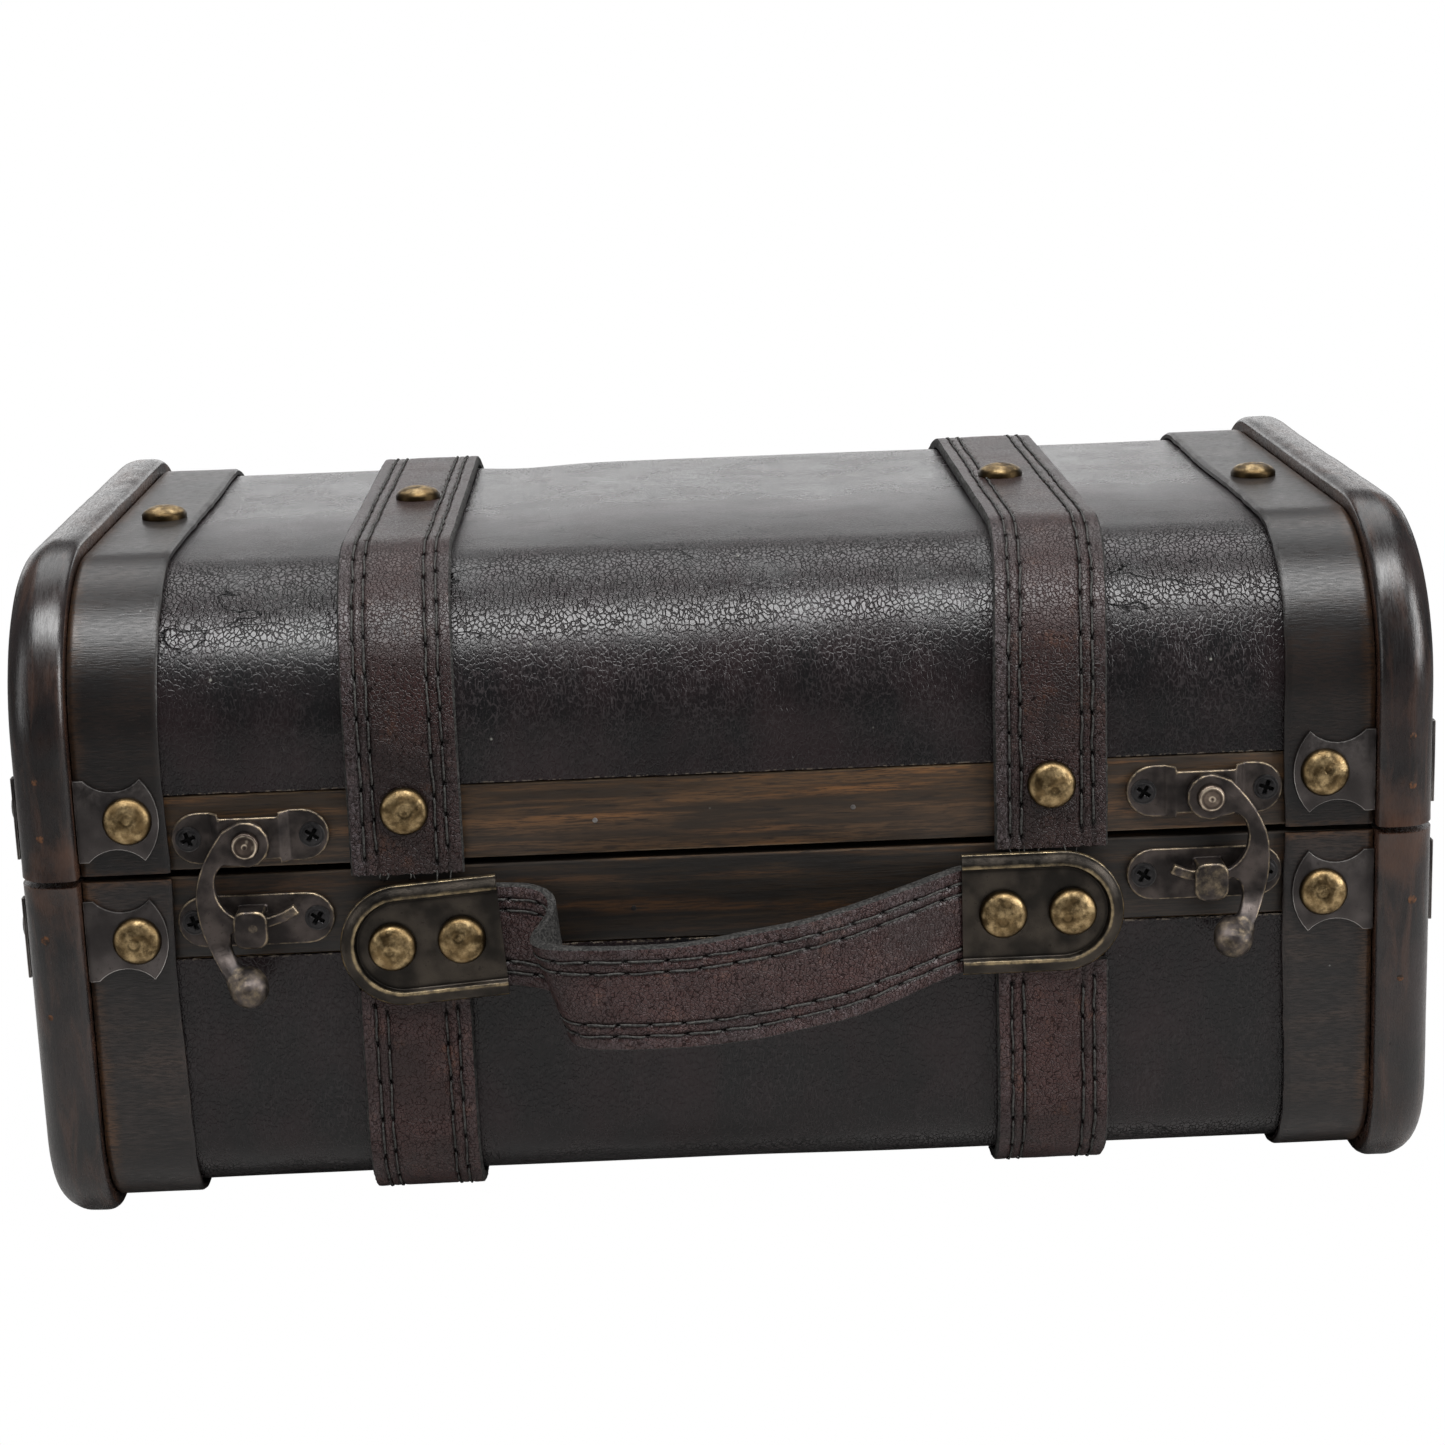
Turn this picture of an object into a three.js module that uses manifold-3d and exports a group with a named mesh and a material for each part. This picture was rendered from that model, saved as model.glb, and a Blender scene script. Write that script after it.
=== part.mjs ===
// Wooden suitcase box: a hinged case with solid end boards, bent plywood shells, leather skin,
// two stitched straps, brass studs, two swing-hook latches and a leather carrying handle.
// Millimetres, +Z up, front towards -Y. The origin is at the middle of the footprint.

import * as THREE from "three";
import { mergeVertices } from "three/addons/utils/BufferGeometryUtils.js";
import Module from "manifold-3d";

const wasm = await Module();
wasm.setup();

// Case, measured over the end boards
const caseLength = 320;
const caseDepth = 198;
const lidHeight = 71.7;
const baseHeight = 86.3;
const topRadius = 40.8;
const bottomRadius = 24.5;
const seamGap = 1.6;

// Clearances
const fitGap = 0.3;
const runningGap = 0.25;
const overrun = 2;

// End boards: solid wood with a bull-nosed edge and a tongue that seats inside the shell
const boardThickness = 13.5;
const boardProud = 3.8;
const boardShoulder = 1.6;
const boardInnerEase = 3;
const boardOuterEase = 8;
const tongueLength = 6;

// Layers of the wall, from the outside in
const bandThickness = 1.5;
const bandWidth = 20;
const leatherThickness = 1.2;
const shellThickness = 4;
const liningThickness = 0.8;
const railSetback = 0.3;
const lidRailHeight = 17.3;
const baseRailHeight = 19.2;

// Leather straps
const strapWidth = 25.4;
const strapThickness = 2.4;
const strapInset = 16.2;
const strapHang = 2.4;

// Corner plates, on the bands and on the end faces
const cornerPlateWidth = 18.6;
const cornerPlateHeight = 19;
const cornerPlateThickness = 0.7;
const cornerPlateBulge = 3.7;
const cornerPlateDip = 2.8;
const cornerPlateStep = 2.3;
const lidPlateRise = 13.7;
const basePlateDrop = 14.4;

// Dome studs
const studDiameter = 11;
const studHeight = 2.8;
const studRim = 0.4;
const shankDiameter = 2.2;
const cornerStudInset = 11.6;
const topStudForward = 13;
const strapTopStudForward = 4;

// Handle
const handleWidth = 24;
const handleThickness = 2.2;
const handleDrop = 16.3;
const handlePlateLength = 36.8;
const handlePlateHeight = 28.4;
const handlePlateThickness = 1.1;
const handlePlateGap = 1;
const handlePlateTilt = 0.07;
const beadInset = 1.8;
const beadWidth = 2.6;
const beadHeight = 1.1;
const beadEaseShare = 0.25;
const rivetOuterInset = 11.8;
const rivetSpacing = 15.8;
const handleBow = 23;
const handleSag = 8.5;
const handleTuck = 30;
const handleSteps = 40;

// Latches
const pivotRise = { left: 7.6, right: 9.5 };
const latchPlateLength = 35.6;
const latchPlateHeight = 12;
const latchPlateThickness = 1;
const latchPlateShift = 0.6;
const latchPlateLift = 0.7;
const bridgeRise = 2;
const bridgeLength = 13.5;
const bridgeWaist = 1.1;
const bridgeRamp = 2.2;
const screwSpacing = 27.8;
const screwHole = 3.6;
const pivotDiameter = 3.8;
const pivotHeadDiameter = 6.4;
const pivotHeadHeight = 1.4;
const pivotCrownShare = 0.7;
const hookThickness = 2.2;
const hookEaseShare = 0.17;
const hookEyeRadius = 5.4;
const tongueRadius = 18.7;
const tongueWidth = 2.4;
const tongueHalfAngle = 0.46;
const tongueRootAngle = 0.28;
const hookSpan = 13.9;
const hookReach = 32.4;
const ballRadius = 3.9;
const ballOut = 5.6;
const ballSide = 4.9;
const hookLean = { left: 0.13, right: 0.02 };
const catchDrop = 18.9;
const catchHeadWidth = 7.7;
const catchHeadHeight = 8.8;
const catchHeadThickness = 1.6;
const catchCornerShare = 0.33;
const catchEaseShare = 0.25;
const catchShelfThickness = 1.4;
const catchShelfWidth = 6.2;
const catchGap = 0.4;

// Rear hinges
const hingeFromBand = 5.2;
const hingeLength = 30;
const hingeLeafHeight = 14;
const hingeLeafThickness = 1.2;
const leafTaper = 3;
const screwRowShare = 0.62;
const knuckleRadius = 2.4;
const hingePinRadius = 1.1;
const hingeBehind = 0.6;

// Faceting
const cornerSegments = 9;
const easeSegments = 3;
const roundSegments = 14;
const smallSegments = 10;
const curveSteps = 5;
const shankSegments = 8;
const leastArcSteps = 4;
const weld = 1e-4;

// Values worked out from the sizes above
const caseHeight = baseHeight + lidHeight;
const seamHeight = baseHeight;
const halfDepth = caseDepth / 2;
const boardFace = caseLength / 2 - boardThickness;
const wallEnd = boardFace - fitGap;
const bandEdge = wallEnd - bandWidth;
const lidEdge = seamHeight + seamGap / 2;
const baseEdge = seamHeight - seamGap / 2;

// Depths of each layer below the crest of the end boards
const bandOuter = boardProud;
const bandInner = bandOuter + bandThickness;
const leatherOuter = bandInner + fitGap;
const leatherInner = leatherOuter + leatherThickness;
const shellOuter = leatherInner + fitGap;
const shellInner = shellOuter + shellThickness;
const liningOuter = shellInner + fitGap;
const liningInner = liningOuter + liningThickness;
const railOuter = leatherOuter + railSetback;
const railInner = liningInner;
const tongueOuter = liningInner + fitGap;
const strapInner = leatherOuter - fitGap;
const strapOuter = strapInner - strapThickness;

// Fittings from the band inwards: the latch, the handle plate, and the strap under it
const latchCentre = bandEdge - latchPlateLength / 2;
const handlePlateReach = latchCentre - latchPlateShift - latchPlateLength / 2 - handlePlateGap;
const strapCentre = handlePlateReach - strapInset;
const hingeCentre = bandEdge - hingeFromBand - hingeLength / 2;

const lidRailTop = lidEdge + lidRailHeight;
const baseRailBottom = baseEdge - baseRailHeight;
const handleCentreZ = seamHeight - handleDrop;
const handleEndLow = handleCentreZ - handleWidth / 2;

// The front face of a layer, as a Y coordinate
const frontOf = (depth) => depth - halfDepth;

// Finishes
const finishes = {
  darkWood: { color: 0x1c1312, roughness: 0.42, metalness: 0 },
  bandWood: { color: 0x231a17, roughness: 0.6, metalness: 0 },
  railWood: { color: 0x3a2415, roughness: 0.55, metalness: 0 },
  plywood: { color: 0x6b5138, roughness: 0.7, metalness: 0 },
  blackLeather: { color: 0x1b171b, roughness: 0.45, metalness: 0 },
  strapLeather: { color: 0x321c1b, roughness: 0.5, metalness: 0 },
  felt: { color: 0x3b2a22, roughness: 0.95, metalness: 0 },
  brass: { color: 0x8a6d3b, roughness: 0.35, metalness: 1 },
  bronze: { color: 0x4c443a, roughness: 0.4, metalness: 1 },
  darkTin: { color: 0x2b2a2b, roughness: 0.5, metalness: 1 },
};

function piece(name, geometry, finish) {
  const mesh = new THREE.Mesh(geometry, new THREE.MeshStandardMaterial(finishes[finish]));
  mesh.name = name;
  return mesh;
}

// Booleans
function toSolid(geometry) {
  const bare = geometry.index ? geometry.toNonIndexed() : geometry.clone();
  bare.deleteAttribute("normal");
  bare.deleteAttribute("uv");
  const places = bare.getAttribute("position").array;
  places.forEach((v, i) => (places[i] = Math.round(v / weld) * weld));
  const merged = mergeVertices(bare, weld / 10);
  return new wasm.Manifold(
    new wasm.Mesh({
      numProp: 3,
      vertProperties: merged.attributes.position.array,
      triVerts: new Uint32Array(merged.index.array),
    }),
  );
}

function toGeometry(solid) {
  const mesh = solid.getMesh();
  return new THREE.BufferGeometry()
    .setAttribute("position", new THREE.BufferAttribute(mesh.vertProperties, 3))
    .setIndex(new THREE.BufferAttribute(mesh.triVerts, 1));
}

const joined = (first, ...rest) =>
  toGeometry(rest.reduce((sum, g) => sum.add(toSolid(g)), toSolid(first)));

const cut = (body, ...cutters) =>
  toGeometry(cutters.reduce((left, g) => left.subtract(toSolid(g)), toSolid(body)));

// Frames for flat work: each turns a drawing in X and Y, with its thickness along Z, to face outwards
const axis = (x, y, z) => new THREE.Vector3(x, y, z);
const facing = {
  front: [axis(1, 0, 0), axis(0, 0, 1), axis(0, -1, 0)],
  rear: [axis(-1, 0, 0), axis(0, 0, 1), axis(0, 1, 0)],
  top: [axis(1, 0, 0), axis(0, 1, 0), axis(0, 0, 1)],
  right: [axis(0, 1, 0), axis(0, 0, 1), axis(1, 0, 0)],
  left: [axis(0, -1, 0), axis(0, 0, 1), axis(-1, 0, 0)],
};

function turnedTo(geometry, face) {
  return geometry.applyMatrix4(new THREE.Matrix4().makeBasis(...facing[face]));
}

function moved(geometry, x, y, z) {
  return geometry.translate(x, y, z);
}

function slab(shape, thickness, curveSegments = curveSteps) {
  return new THREE.ExtrudeGeometry(shape, { depth: thickness, bevelEnabled: false, curveSegments });
}

function easedSlab(shape, thickness, ease, curveSegments = curveSteps) {
  return new THREE.ExtrudeGeometry(shape, {
    depth: thickness - 2 * ease,
    bevelEnabled: true,
    bevelThickness: ease,
    bevelSize: ease,
    bevelOffset: -ease,
    bevelSegments: 1,
    curveSegments,
  }).translate(0, 0, ease);
}

function circleHole(x, y, radius) {
  return new THREE.Path().absarc(x, y, radius, 0, 2 * Math.PI, true);
}

// A shank or its hole, standing on the drawing plane of its face and reaching both ways
function shank(diameter, below, above, segments = shankSegments) {
  const length = below + above;
  return new THREE.CylinderGeometry(diameter / 2, diameter / 2, length, segments)
    .rotateX(Math.PI / 2)
    .translate(0, 0, above - length / 2);
}

// Points of a quarter turn in the YZ section, without its end point
function quarter(centreY, centreZ, radius, fromAngle, points) {
  for (let i = 0; i < cornerSegments; i++) {
    const a = fromAngle - ((Math.PI / 2) * i) / cornerSegments;
    points.push([centreY + radius * Math.cos(a), centreZ + radius * Math.sin(a)]);
  }
}

// Half of the case's section at a depth below the crest, from its front edge round to its rear edge.
// The lid's half runs over the top. The base's half runs under the bottom, and is listed the same way.
function halfSection(half, depth, edge) {
  const side = halfDepth - depth;
  const points = [[-side, edge]];
  if (half === "lid") {
    const radius = topRadius - depth;
    const height = caseHeight - depth - radius;
    quarter(-side + radius, height, radius, Math.PI, points);
    quarter(side - radius, height, radius, Math.PI / 2, points);
    points.push([side, height]);
  } else {
    const radius = bottomRadius - depth;
    const height = depth + radius;
    const under = [];
    quarter(side - radius, height, radius, 0, under);
    quarter(-side + radius, height, radius, -Math.PI / 2, under);
    under.push([-side, height]);
    points.push(...under.reverse());
  }
  points.push([side, edge]);
  return points;
}

// A bent sheet between two depths, from its front edge round to its rear edge
function bentSheet(half, outer, inner, frontEdge, rearEdge, fromX, toX) {
  const outside = halfSection(half, outer, frontEdge);
  const inside = halfSection(half, inner, frontEdge);
  outside.at(-1)[1] = rearEdge;
  inside.at(-1)[1] = rearEdge;
  const outline = [...outside, ...inside.reverse()];
  const shape = new THREE.Shape(outline.map(([y, z]) => new THREE.Vector2(y, z)));
  return moved(turnedTo(slab(shape, toX - fromX), "right"), fromX, 0, 0);
}

// Turns every face round, which a mirrored geometry needs
function insideOut(geometry) {
  const count = geometry.getAttribute("position").count;
  if (!geometry.index) geometry.setIndex(Array.from({ length: count }, (_, i) => i));
  const order = geometry.index.array;
  for (let i = 0; i < order.length; i += 3) [order[i + 1], order[i + 2]] = [order[i + 2], order[i + 1]];
  return geometry;
}

const facingOut = (geometry) => (toSolid(geometry).volume() < 0 ? insideOut(geometry) : geometry);

// A body through matching sections, each a closed ring of points, with flat ends
function skinned(rings, endTriangles) {
  const count = rings[0].length;
  const index = [];
  for (let s = 0; s + 1 < rings.length; s++)
    for (let i = 0; i < count; i++) {
      const a = s * count + i;
      const b = s * count + ((i + 1) % count);
      index.push(a, b, b + count, a, b + count, a + count);
    }
  const last = (rings.length - 1) * count;
  for (const [a, b, c] of endTriangles) index.push(a, c, b, last + a, last + b, last + c);
  const geometry = new THREE.BufferGeometry()
    .setAttribute("position", new THREE.Float32BufferAttribute(rings.flat(2), 3))
    .setIndex(index);
  return facingOut(geometry);
}

// A board made of matching YZ sections, each at its own X
function loft(sections) {
  const anticlockwise = sections.map(({ x, points }) => {
    const flat = points.map(([y, z]) => new THREE.Vector2(y, z));
    return { x, flat: THREE.ShapeUtils.isClockWise(flat) ? flat.reverse() : flat };
  });
  const rings = anticlockwise.map(({ x, flat }) => flat.map((p) => [x, p.x, p.y]));
  return skinned(rings, THREE.ShapeUtils.triangulateShape(anticlockwise[0].flat, []));
}

// End boards
function endBoard(half, side) {
  const edge = half === "lid" ? lidEdge : baseEdge;
  const steps = [
    [-tongueLength, tongueOuter],
    [0, tongueOuter],
    [0, boardShoulder],
  ];
  for (let i = 1; i <= easeSegments; i++) {
    const a = (Math.PI / 2) * (i / easeSegments);
    steps.push([boardInnerEase * (1 - Math.cos(a)), boardShoulder * (1 - Math.sin(a))]);
  }
  const outerStart = boardThickness - boardOuterEase;
  for (let i = 0; i <= easeSegments; i++) {
    const a = (Math.PI / 2) * (i / easeSegments);
    steps.push([outerStart + boardOuterEase * Math.sin(a), boardOuterEase * (1 - Math.cos(a))]);
  }
  return loft(
    steps.map(([x, depth]) => ({ x: side * (boardFace + x), points: halfSection(half, depth, edge) })),
  );
}

// Domed tack with a short shank, standing on its drawing plane with its dome along +Z
function stud(shankLength) {
  const radius = studDiameter / 2;
  const profile = [
    [0, -shankLength],
    [shankDiameter / 2, -shankLength],
    [shankDiameter / 2, 0],
    [radius, 0],
    [radius, studRim],
  ];
  for (let i = 1; i < easeSegments; i++) {
    const a = (Math.PI / 2) * (i / easeSegments);
    profile.push([radius * Math.cos(a), studRim + (studHeight - studRim) * Math.sin(a)]);
  }
  profile.push([0, studHeight]);
  return new THREE.LatheGeometry(
    profile.map(([r, h]) => new THREE.Vector2(r, h)),
    roundSegments,
  ).rotateX(Math.PI / 2);
}

function placedStud(name, face, x, y, z, shankLength) {
  return piece(name, moved(turnedTo(stud(shankLength), face), x, y, z), "brass");
}

function shankHole(face, x, y, z, below) {
  const diameter = shankDiameter + 2 * runningGap;
  return moved(turnedTo(shank(diameter, below + overrun, overrun), face), x, y, z);
}

// Bow-tie corner plate: a bulged inner end, two hollow sides and a straight end at the board.
// Drawn with its straight end at X = 0 and the plate towards -X.
function cornerPlateShape() {
  const tall = cornerPlateHeight / 2;
  const halfHollow = (cornerPlateWidth - cornerPlateBulge - cornerPlateStep) / 2;
  const tip = cornerPlateBulge - cornerPlateWidth;
  const hollowRadius = (halfHollow ** 2 + cornerPlateDip ** 2) / (2 * cornerPlateDip);
  const bulgeRadius = (tall ** 2 + cornerPlateBulge ** 2) / (2 * cornerPlateBulge);
  const hollowCentre = tip + halfHollow;
  const hollowSweep = Math.asin(halfHollow / hollowRadius);
  const bulgeSweep = Math.asin(tall / bulgeRadius);
  const above = tall - cornerPlateDip + hollowRadius;
  const shape = new THREE.Shape();
  shape.moveTo(0, -tall);
  shape.lineTo(0, tall);
  shape.lineTo(-cornerPlateStep, tall);
  const down = -Math.PI / 2;
  shape.absarc(hollowCentre, above, hollowRadius, down + hollowSweep, down - hollowSweep, true);
  const bulgeCentre = tip - cornerPlateBulge + bulgeRadius;
  shape.absarc(bulgeCentre, 0, bulgeRadius, Math.PI - bulgeSweep, Math.PI + bulgeSweep, false);
  shape.absarc(hollowCentre, -above, hollowRadius, -down + hollowSweep, -down - hollowSweep, true);
  shape.lineTo(-cornerPlateStep, -tall);
  return shape;
}

function cornerPlate(studHole) {
  const shape = cornerPlateShape();
  if (studHole)
    shape.holes.push(circleHole(-cornerStudInset, 0, shankDiameter / 2 + runningGap));
  return slab(shape, cornerPlateThickness);
}

// Case halves: end boards, shell, skin, rails, bands and straps
const rootGroup = new THREE.Group();
const baseGroup = new THREE.Group();
const lidGroup = new THREE.Group();
rootGroup.add(baseGroup, lidGroup);

const cornerPlateZ = { lid: seamHeight + lidPlateRise, base: seamHeight - basePlateDrop };
const cornerPlateFront = frontOf(bandOuter) - fitGap;
const cornerStudX = boardFace - fitGap - cornerStudInset;
const cornerStudShank = fitGap + cornerPlateThickness + bandThickness;

const sides = [
  ["left", -1],
  ["right", 1],
];

for (const [half, group] of [
  ["lid", lidGroup],
  ["base", baseGroup],
]) {
  const isLid = half === "lid";
  const edge = isLid ? lidEdge : baseEdge;
  const railInside = isLid ? lidRailTop : baseRailBottom;
  const away = isLid ? 1 : -1;
  const skinEdge = railInside + away * fitGap;

  group.add(
    piece(
      `${half}_shell`,
      bentSheet(half, shellOuter, shellInner, skinEdge, skinEdge, -wallEnd, wallEnd),
      "plywood",
    ),
    piece(
      `${half}_leather`,
      bentSheet(half, leatherOuter, leatherInner, skinEdge, skinEdge, -wallEnd, wallEnd),
      "blackLeather",
    ),
    piece(
      `${half}_lining`,
      bentSheet(
        half,
        liningOuter,
        liningInner,
        skinEdge,
        skinEdge,
        tongueLength - boardFace + fitGap,
        boardFace - tongueLength - fitGap,
      ),
      "felt",
    ),
  );

  for (const [place, way] of [
    ["front", -1],
    ["rear", 1],
  ]) {
    const rail = new THREE.BoxGeometry(2 * wallEnd, railInner - railOuter, Math.abs(railInside - edge));
    const middle = halfDepth - (railOuter + railInner) / 2;
    group.add(
      piece(`${half}_${place}_rail`, moved(rail, 0, way * middle, (railInside + edge) / 2), "railWood"),
    );
  }

  for (const [sideName, side] of sides) {
    group.add(piece(`${half}_end_board_${sideName}`, endBoard(half, side), "darkWood"));

    // Band over the leather's end, pinned by the studs
    const bandOuterX = side * wallEnd;
    const bandInnerX = side * bandEdge;
    let band = bentSheet(
      half,
      bandOuter,
      bandInner,
      edge,
      edge,
      Math.min(bandOuterX, bandInnerX),
      Math.max(bandOuterX, bandInnerX),
    );
    const studX = side * cornerStudX;
    const studZ = cornerPlateZ[half];
    band = cut(band, shankHole("front", studX, frontOf(bandOuter), studZ, bandThickness));
    if (isLid) {
      const onBand = caseHeight - bandOuter;
      band = cut(band, shankHole("top", studX, -topStudForward, onBand, bandThickness));
      group.add(
        placedStud(
          `band_top_stud_${sideName}`,
          "top",
          studX,
          -topStudForward,
          onBand + fitGap,
          bandThickness,
        ),
      );
    }
    group.add(piece(`${half}_band_${sideName}`, band, "bandWood"));

    // Corner plate on the band, with its stud
    const plate = turnedTo(cornerPlate(true), "front");
    if (side < 0) insideOut(plate.scale(-1, 1, 1));
    moved(plate, side * wallEnd, cornerPlateFront, studZ);
    group.add(
      piece(`${half}_corner_plate_${sideName}`, plate, "darkTin"),
      placedStud(
        `${half}_corner_stud_${sideName}`,
        "front",
        studX,
        cornerPlateFront - cornerPlateThickness - fitGap,
        studZ,
        cornerStudShank,
      ),
    );

    // Matching plate on the end face, with its stud driven through it
    const endPlate = joined(
      slab(cornerPlateShape(), cornerPlateThickness),
      moved(stud(0), -cornerStudInset, 0, cornerPlateThickness - runningGap),
    );
    const towardsRear = halfDepth - boardOuterEase;
    turnedTo(endPlate, sideName);
    if (side > 0) insideOut(endPlate.scale(1, -1, 1));
    moved(endPlate, side * (caseLength / 2 + fitGap), -towardsRear, studZ);
    group.add(piece(`${half}_end_plate_${sideName}`, endPlate, "darkTin"));

    // Strap: over the lid from edge to edge, and under the base from the handle plate to the rear edge
    const strapX = side * strapCentre;
    const frontEnd = isLid ? lidEdge - strapHang : handleEndLow - fitGap;
    let strap = bentSheet(
      half,
      strapOuter,
      strapInner,
      frontEnd,
      edge,
      strapX - strapWidth / 2,
      strapX + strapWidth / 2,
    );
    if (isLid) {
      const frontStudZ = cornerPlateZ.lid - fitGap;
      const onStrap = caseHeight - strapOuter;
      strap = cut(
        strap,
        shankHole("front", strapX, frontOf(strapOuter), frontStudZ, strapThickness),
        shankHole("top", strapX, -strapTopStudForward, onStrap, strapThickness),
      );
      group.add(
        placedStud(
          `strap_front_stud_${sideName}`,
          "front",
          strapX,
          frontOf(strapOuter) - fitGap,
          frontStudZ,
          strapThickness,
        ),
        placedStud(
          `strap_top_stud_${sideName}`,
          "top",
          strapX,
          -strapTopStudForward,
          onStrap + fitGap,
          strapThickness,
        ),
      );
    }
    group.add(piece(`${half}_strap_${sideName}`, strap, "strapLeather"));
  }
}

// Handle plates: D-shaped pressings with a raised bead, open towards the middle of the case.
// Drawn with the half-round end towards -X and the open end at X = 0.
function dShape(inset) {
  const radius = handlePlateHeight / 2 - inset;
  const centre = handlePlateHeight / 2 - handlePlateLength;
  const shape = new THREE.Shape();
  shape.moveTo(0, -radius);
  shape.lineTo(0, radius);
  shape.lineTo(centre, radius);
  shape.absarc(centre, 0, radius, Math.PI / 2, (3 * Math.PI) / 2, false);
  return shape;
}

function beadShape() {
  const outer = handlePlateHeight / 2 - beadInset;
  const inner = outer - beadWidth;
  const centre = handlePlateHeight / 2 - handlePlateLength;
  const shape = new THREE.Shape();
  shape.moveTo(0, outer);
  shape.lineTo(centre, outer);
  shape.absarc(centre, 0, outer, Math.PI / 2, (3 * Math.PI) / 2, false);
  shape.lineTo(0, -outer);
  shape.lineTo(0, -inner);
  shape.lineTo(centre, -inner);
  shape.absarc(centre, 0, inner, (3 * Math.PI) / 2, Math.PI / 2, true);
  shape.lineTo(0, inner);
  return shape;
}

const rivetPlaces = {
  outer: rivetOuterInset - handlePlateLength,
  inner: rivetOuterInset + rivetSpacing - handlePlateLength,
};

function handlePlate() {
  const shape = dShape(0);
  for (const x of Object.values(rivetPlaces))
    shape.holes.push(circleHole(x, 0, shankDiameter / 2 + runningGap));
  const bead = easedSlab(beadShape(), beadHeight + handlePlateThickness / 2, beadWidth * beadEaseShare);
  return joined(
    slab(shape, handlePlateThickness),
    moved(bead, 0, 0, handlePlateThickness / 2),
  );
}

const handlePlateBack = frontOf(strapOuter) - fitGap;
const handlePlateOpenEnd = handlePlateReach - handlePlateLength;
const plateTilts = { left: handlePlateTilt, right: 0 };

for (const [sideName, side] of sides) {
  const fittings = new THREE.Group();
  fittings.position.set(side * handlePlateOpenEnd, handlePlateBack, handleCentreZ);
  fittings.rotation.y = -plateTilts[sideName];
  const plate = turnedTo(handlePlate(), "front");
  if (side > 0) insideOut(plate.scale(-1, 1, 1));
  fittings.add(piece(`handle_plate_${sideName}`, plate, "bronze"));
  for (const [place, x] of Object.entries(rivetPlaces)) {
    const head = turnedTo(stud(handlePlateThickness), "front");
    moved(head, -side * x, -handlePlateThickness - fitGap, 0);
    fittings.add(piece(`handle_rivet_${sideName}_${place}`, head, "brass"));
  }
  baseGroup.add(fittings);
}

// Handle strap: one leather ribbon, clamped under both plates, folded at the left and bowed outwards.
// Along: share of the half span between the plates. Out: share of the bow. Down: share of the sag.
const handleRouteShares = [
  { along: -1.0, out: 0.0, down: 0.0 },
  { along: -0.88, out: 0.02, down: 0.0 },
  { along: -0.79, out: 0.14, down: 0.1 },
  { along: -0.83, out: 0.36, down: 0.5 },
  { along: -0.88, out: 0.58, down: 0.8 },
  { along: -0.8, out: 0.8, down: 0.95 },
  { along: -0.55, out: 0.98, down: 1.0 },
  { along: -0.2, out: 1.0, down: 1.0 },
  { along: 0.1, out: 0.9, down: 0.82 },
  { along: 0.4, out: 0.62, down: 0.5 },
  { along: 0.65, out: 0.34, down: 0.22 },
  { along: 0.85, out: 0.1, down: 0.05 },
  { along: 1.0, out: 0.0, down: 0.0 },
];

function handleStrap() {
  const flat = handlePlateBack + fitGap + handleThickness / 2;
  const span = handlePlateOpenEnd - overrun;
  const bowed = handleRouteShares.map(
    ({ along, out, down }) =>
      new THREE.Vector3(along * span, flat - out * handleBow, handleCentreZ - down * handleSag),
  );
  const inner = new THREE.CatmullRomCurve3(bowed, false, "centripetal").getSpacedPoints(handleSteps);
  const tuck = (side) => new THREE.Vector3(side * (span + handleTuck), flat, handleCentreZ);
  const route = [tuck(-1), ...inner, tuck(1)];
  const rings = route.map((point, i) => {
    const ahead = route[Math.min(i + 1, route.length - 1)];
    const behind = route[Math.max(i - 1, 0)];
    const run = new THREE.Vector2(ahead.x - behind.x, ahead.y - behind.y).normalize();
    const across = new THREE.Vector2(run.y, -run.x).multiplyScalar(handleThickness / 2);
    const rise = handleWidth / 2;
    return [
      [point.x - across.x, point.y - across.y, point.z - rise],
      [point.x + across.x, point.y + across.y, point.z - rise],
      [point.x + across.x, point.y + across.y, point.z + rise],
      [point.x - across.x, point.y - across.y, point.z + rise],
    ];
  });
  const halves = [
    [0, 1, 2],
    [0, 2, 3],
  ];
  return skinned(rings, halves);
}

baseGroup.add(piece("handle_strap", handleStrap(), "strapLeather"));

// Latches. Each is drawn for the right side, with its pivot at the origin.
function roundedBar(length, height) {
  const radius = height / 2;
  const straight = length / 2 - radius;
  const shape = new THREE.Shape();
  shape.absarc(straight, 0, radius, -Math.PI / 2, Math.PI / 2, false);
  shape.absarc(-straight, 0, radius, Math.PI / 2, (3 * Math.PI) / 2, false);
  return shape;
}

// Side view of the latch plate: flat, up the ramp, along the bridge and down again
function bridgedSection() {
  const end = latchPlateLength / 2;
  const bridge = bridgeLength / 2;
  const lower = [
    [-end, 0],
    [-bridge - bridgeRamp, 0],
    [-bridge, bridgeRise],
    [bridge, bridgeRise],
    [bridge + bridgeRamp, 0],
    [end, 0],
  ];
  const upper = lower.map(([x, h]) => [x, h + latchPlateThickness]).reverse();
  return new THREE.Shape([...lower, ...upper].map(([x, h]) => new THREE.Vector2(x, h)));
}

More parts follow.
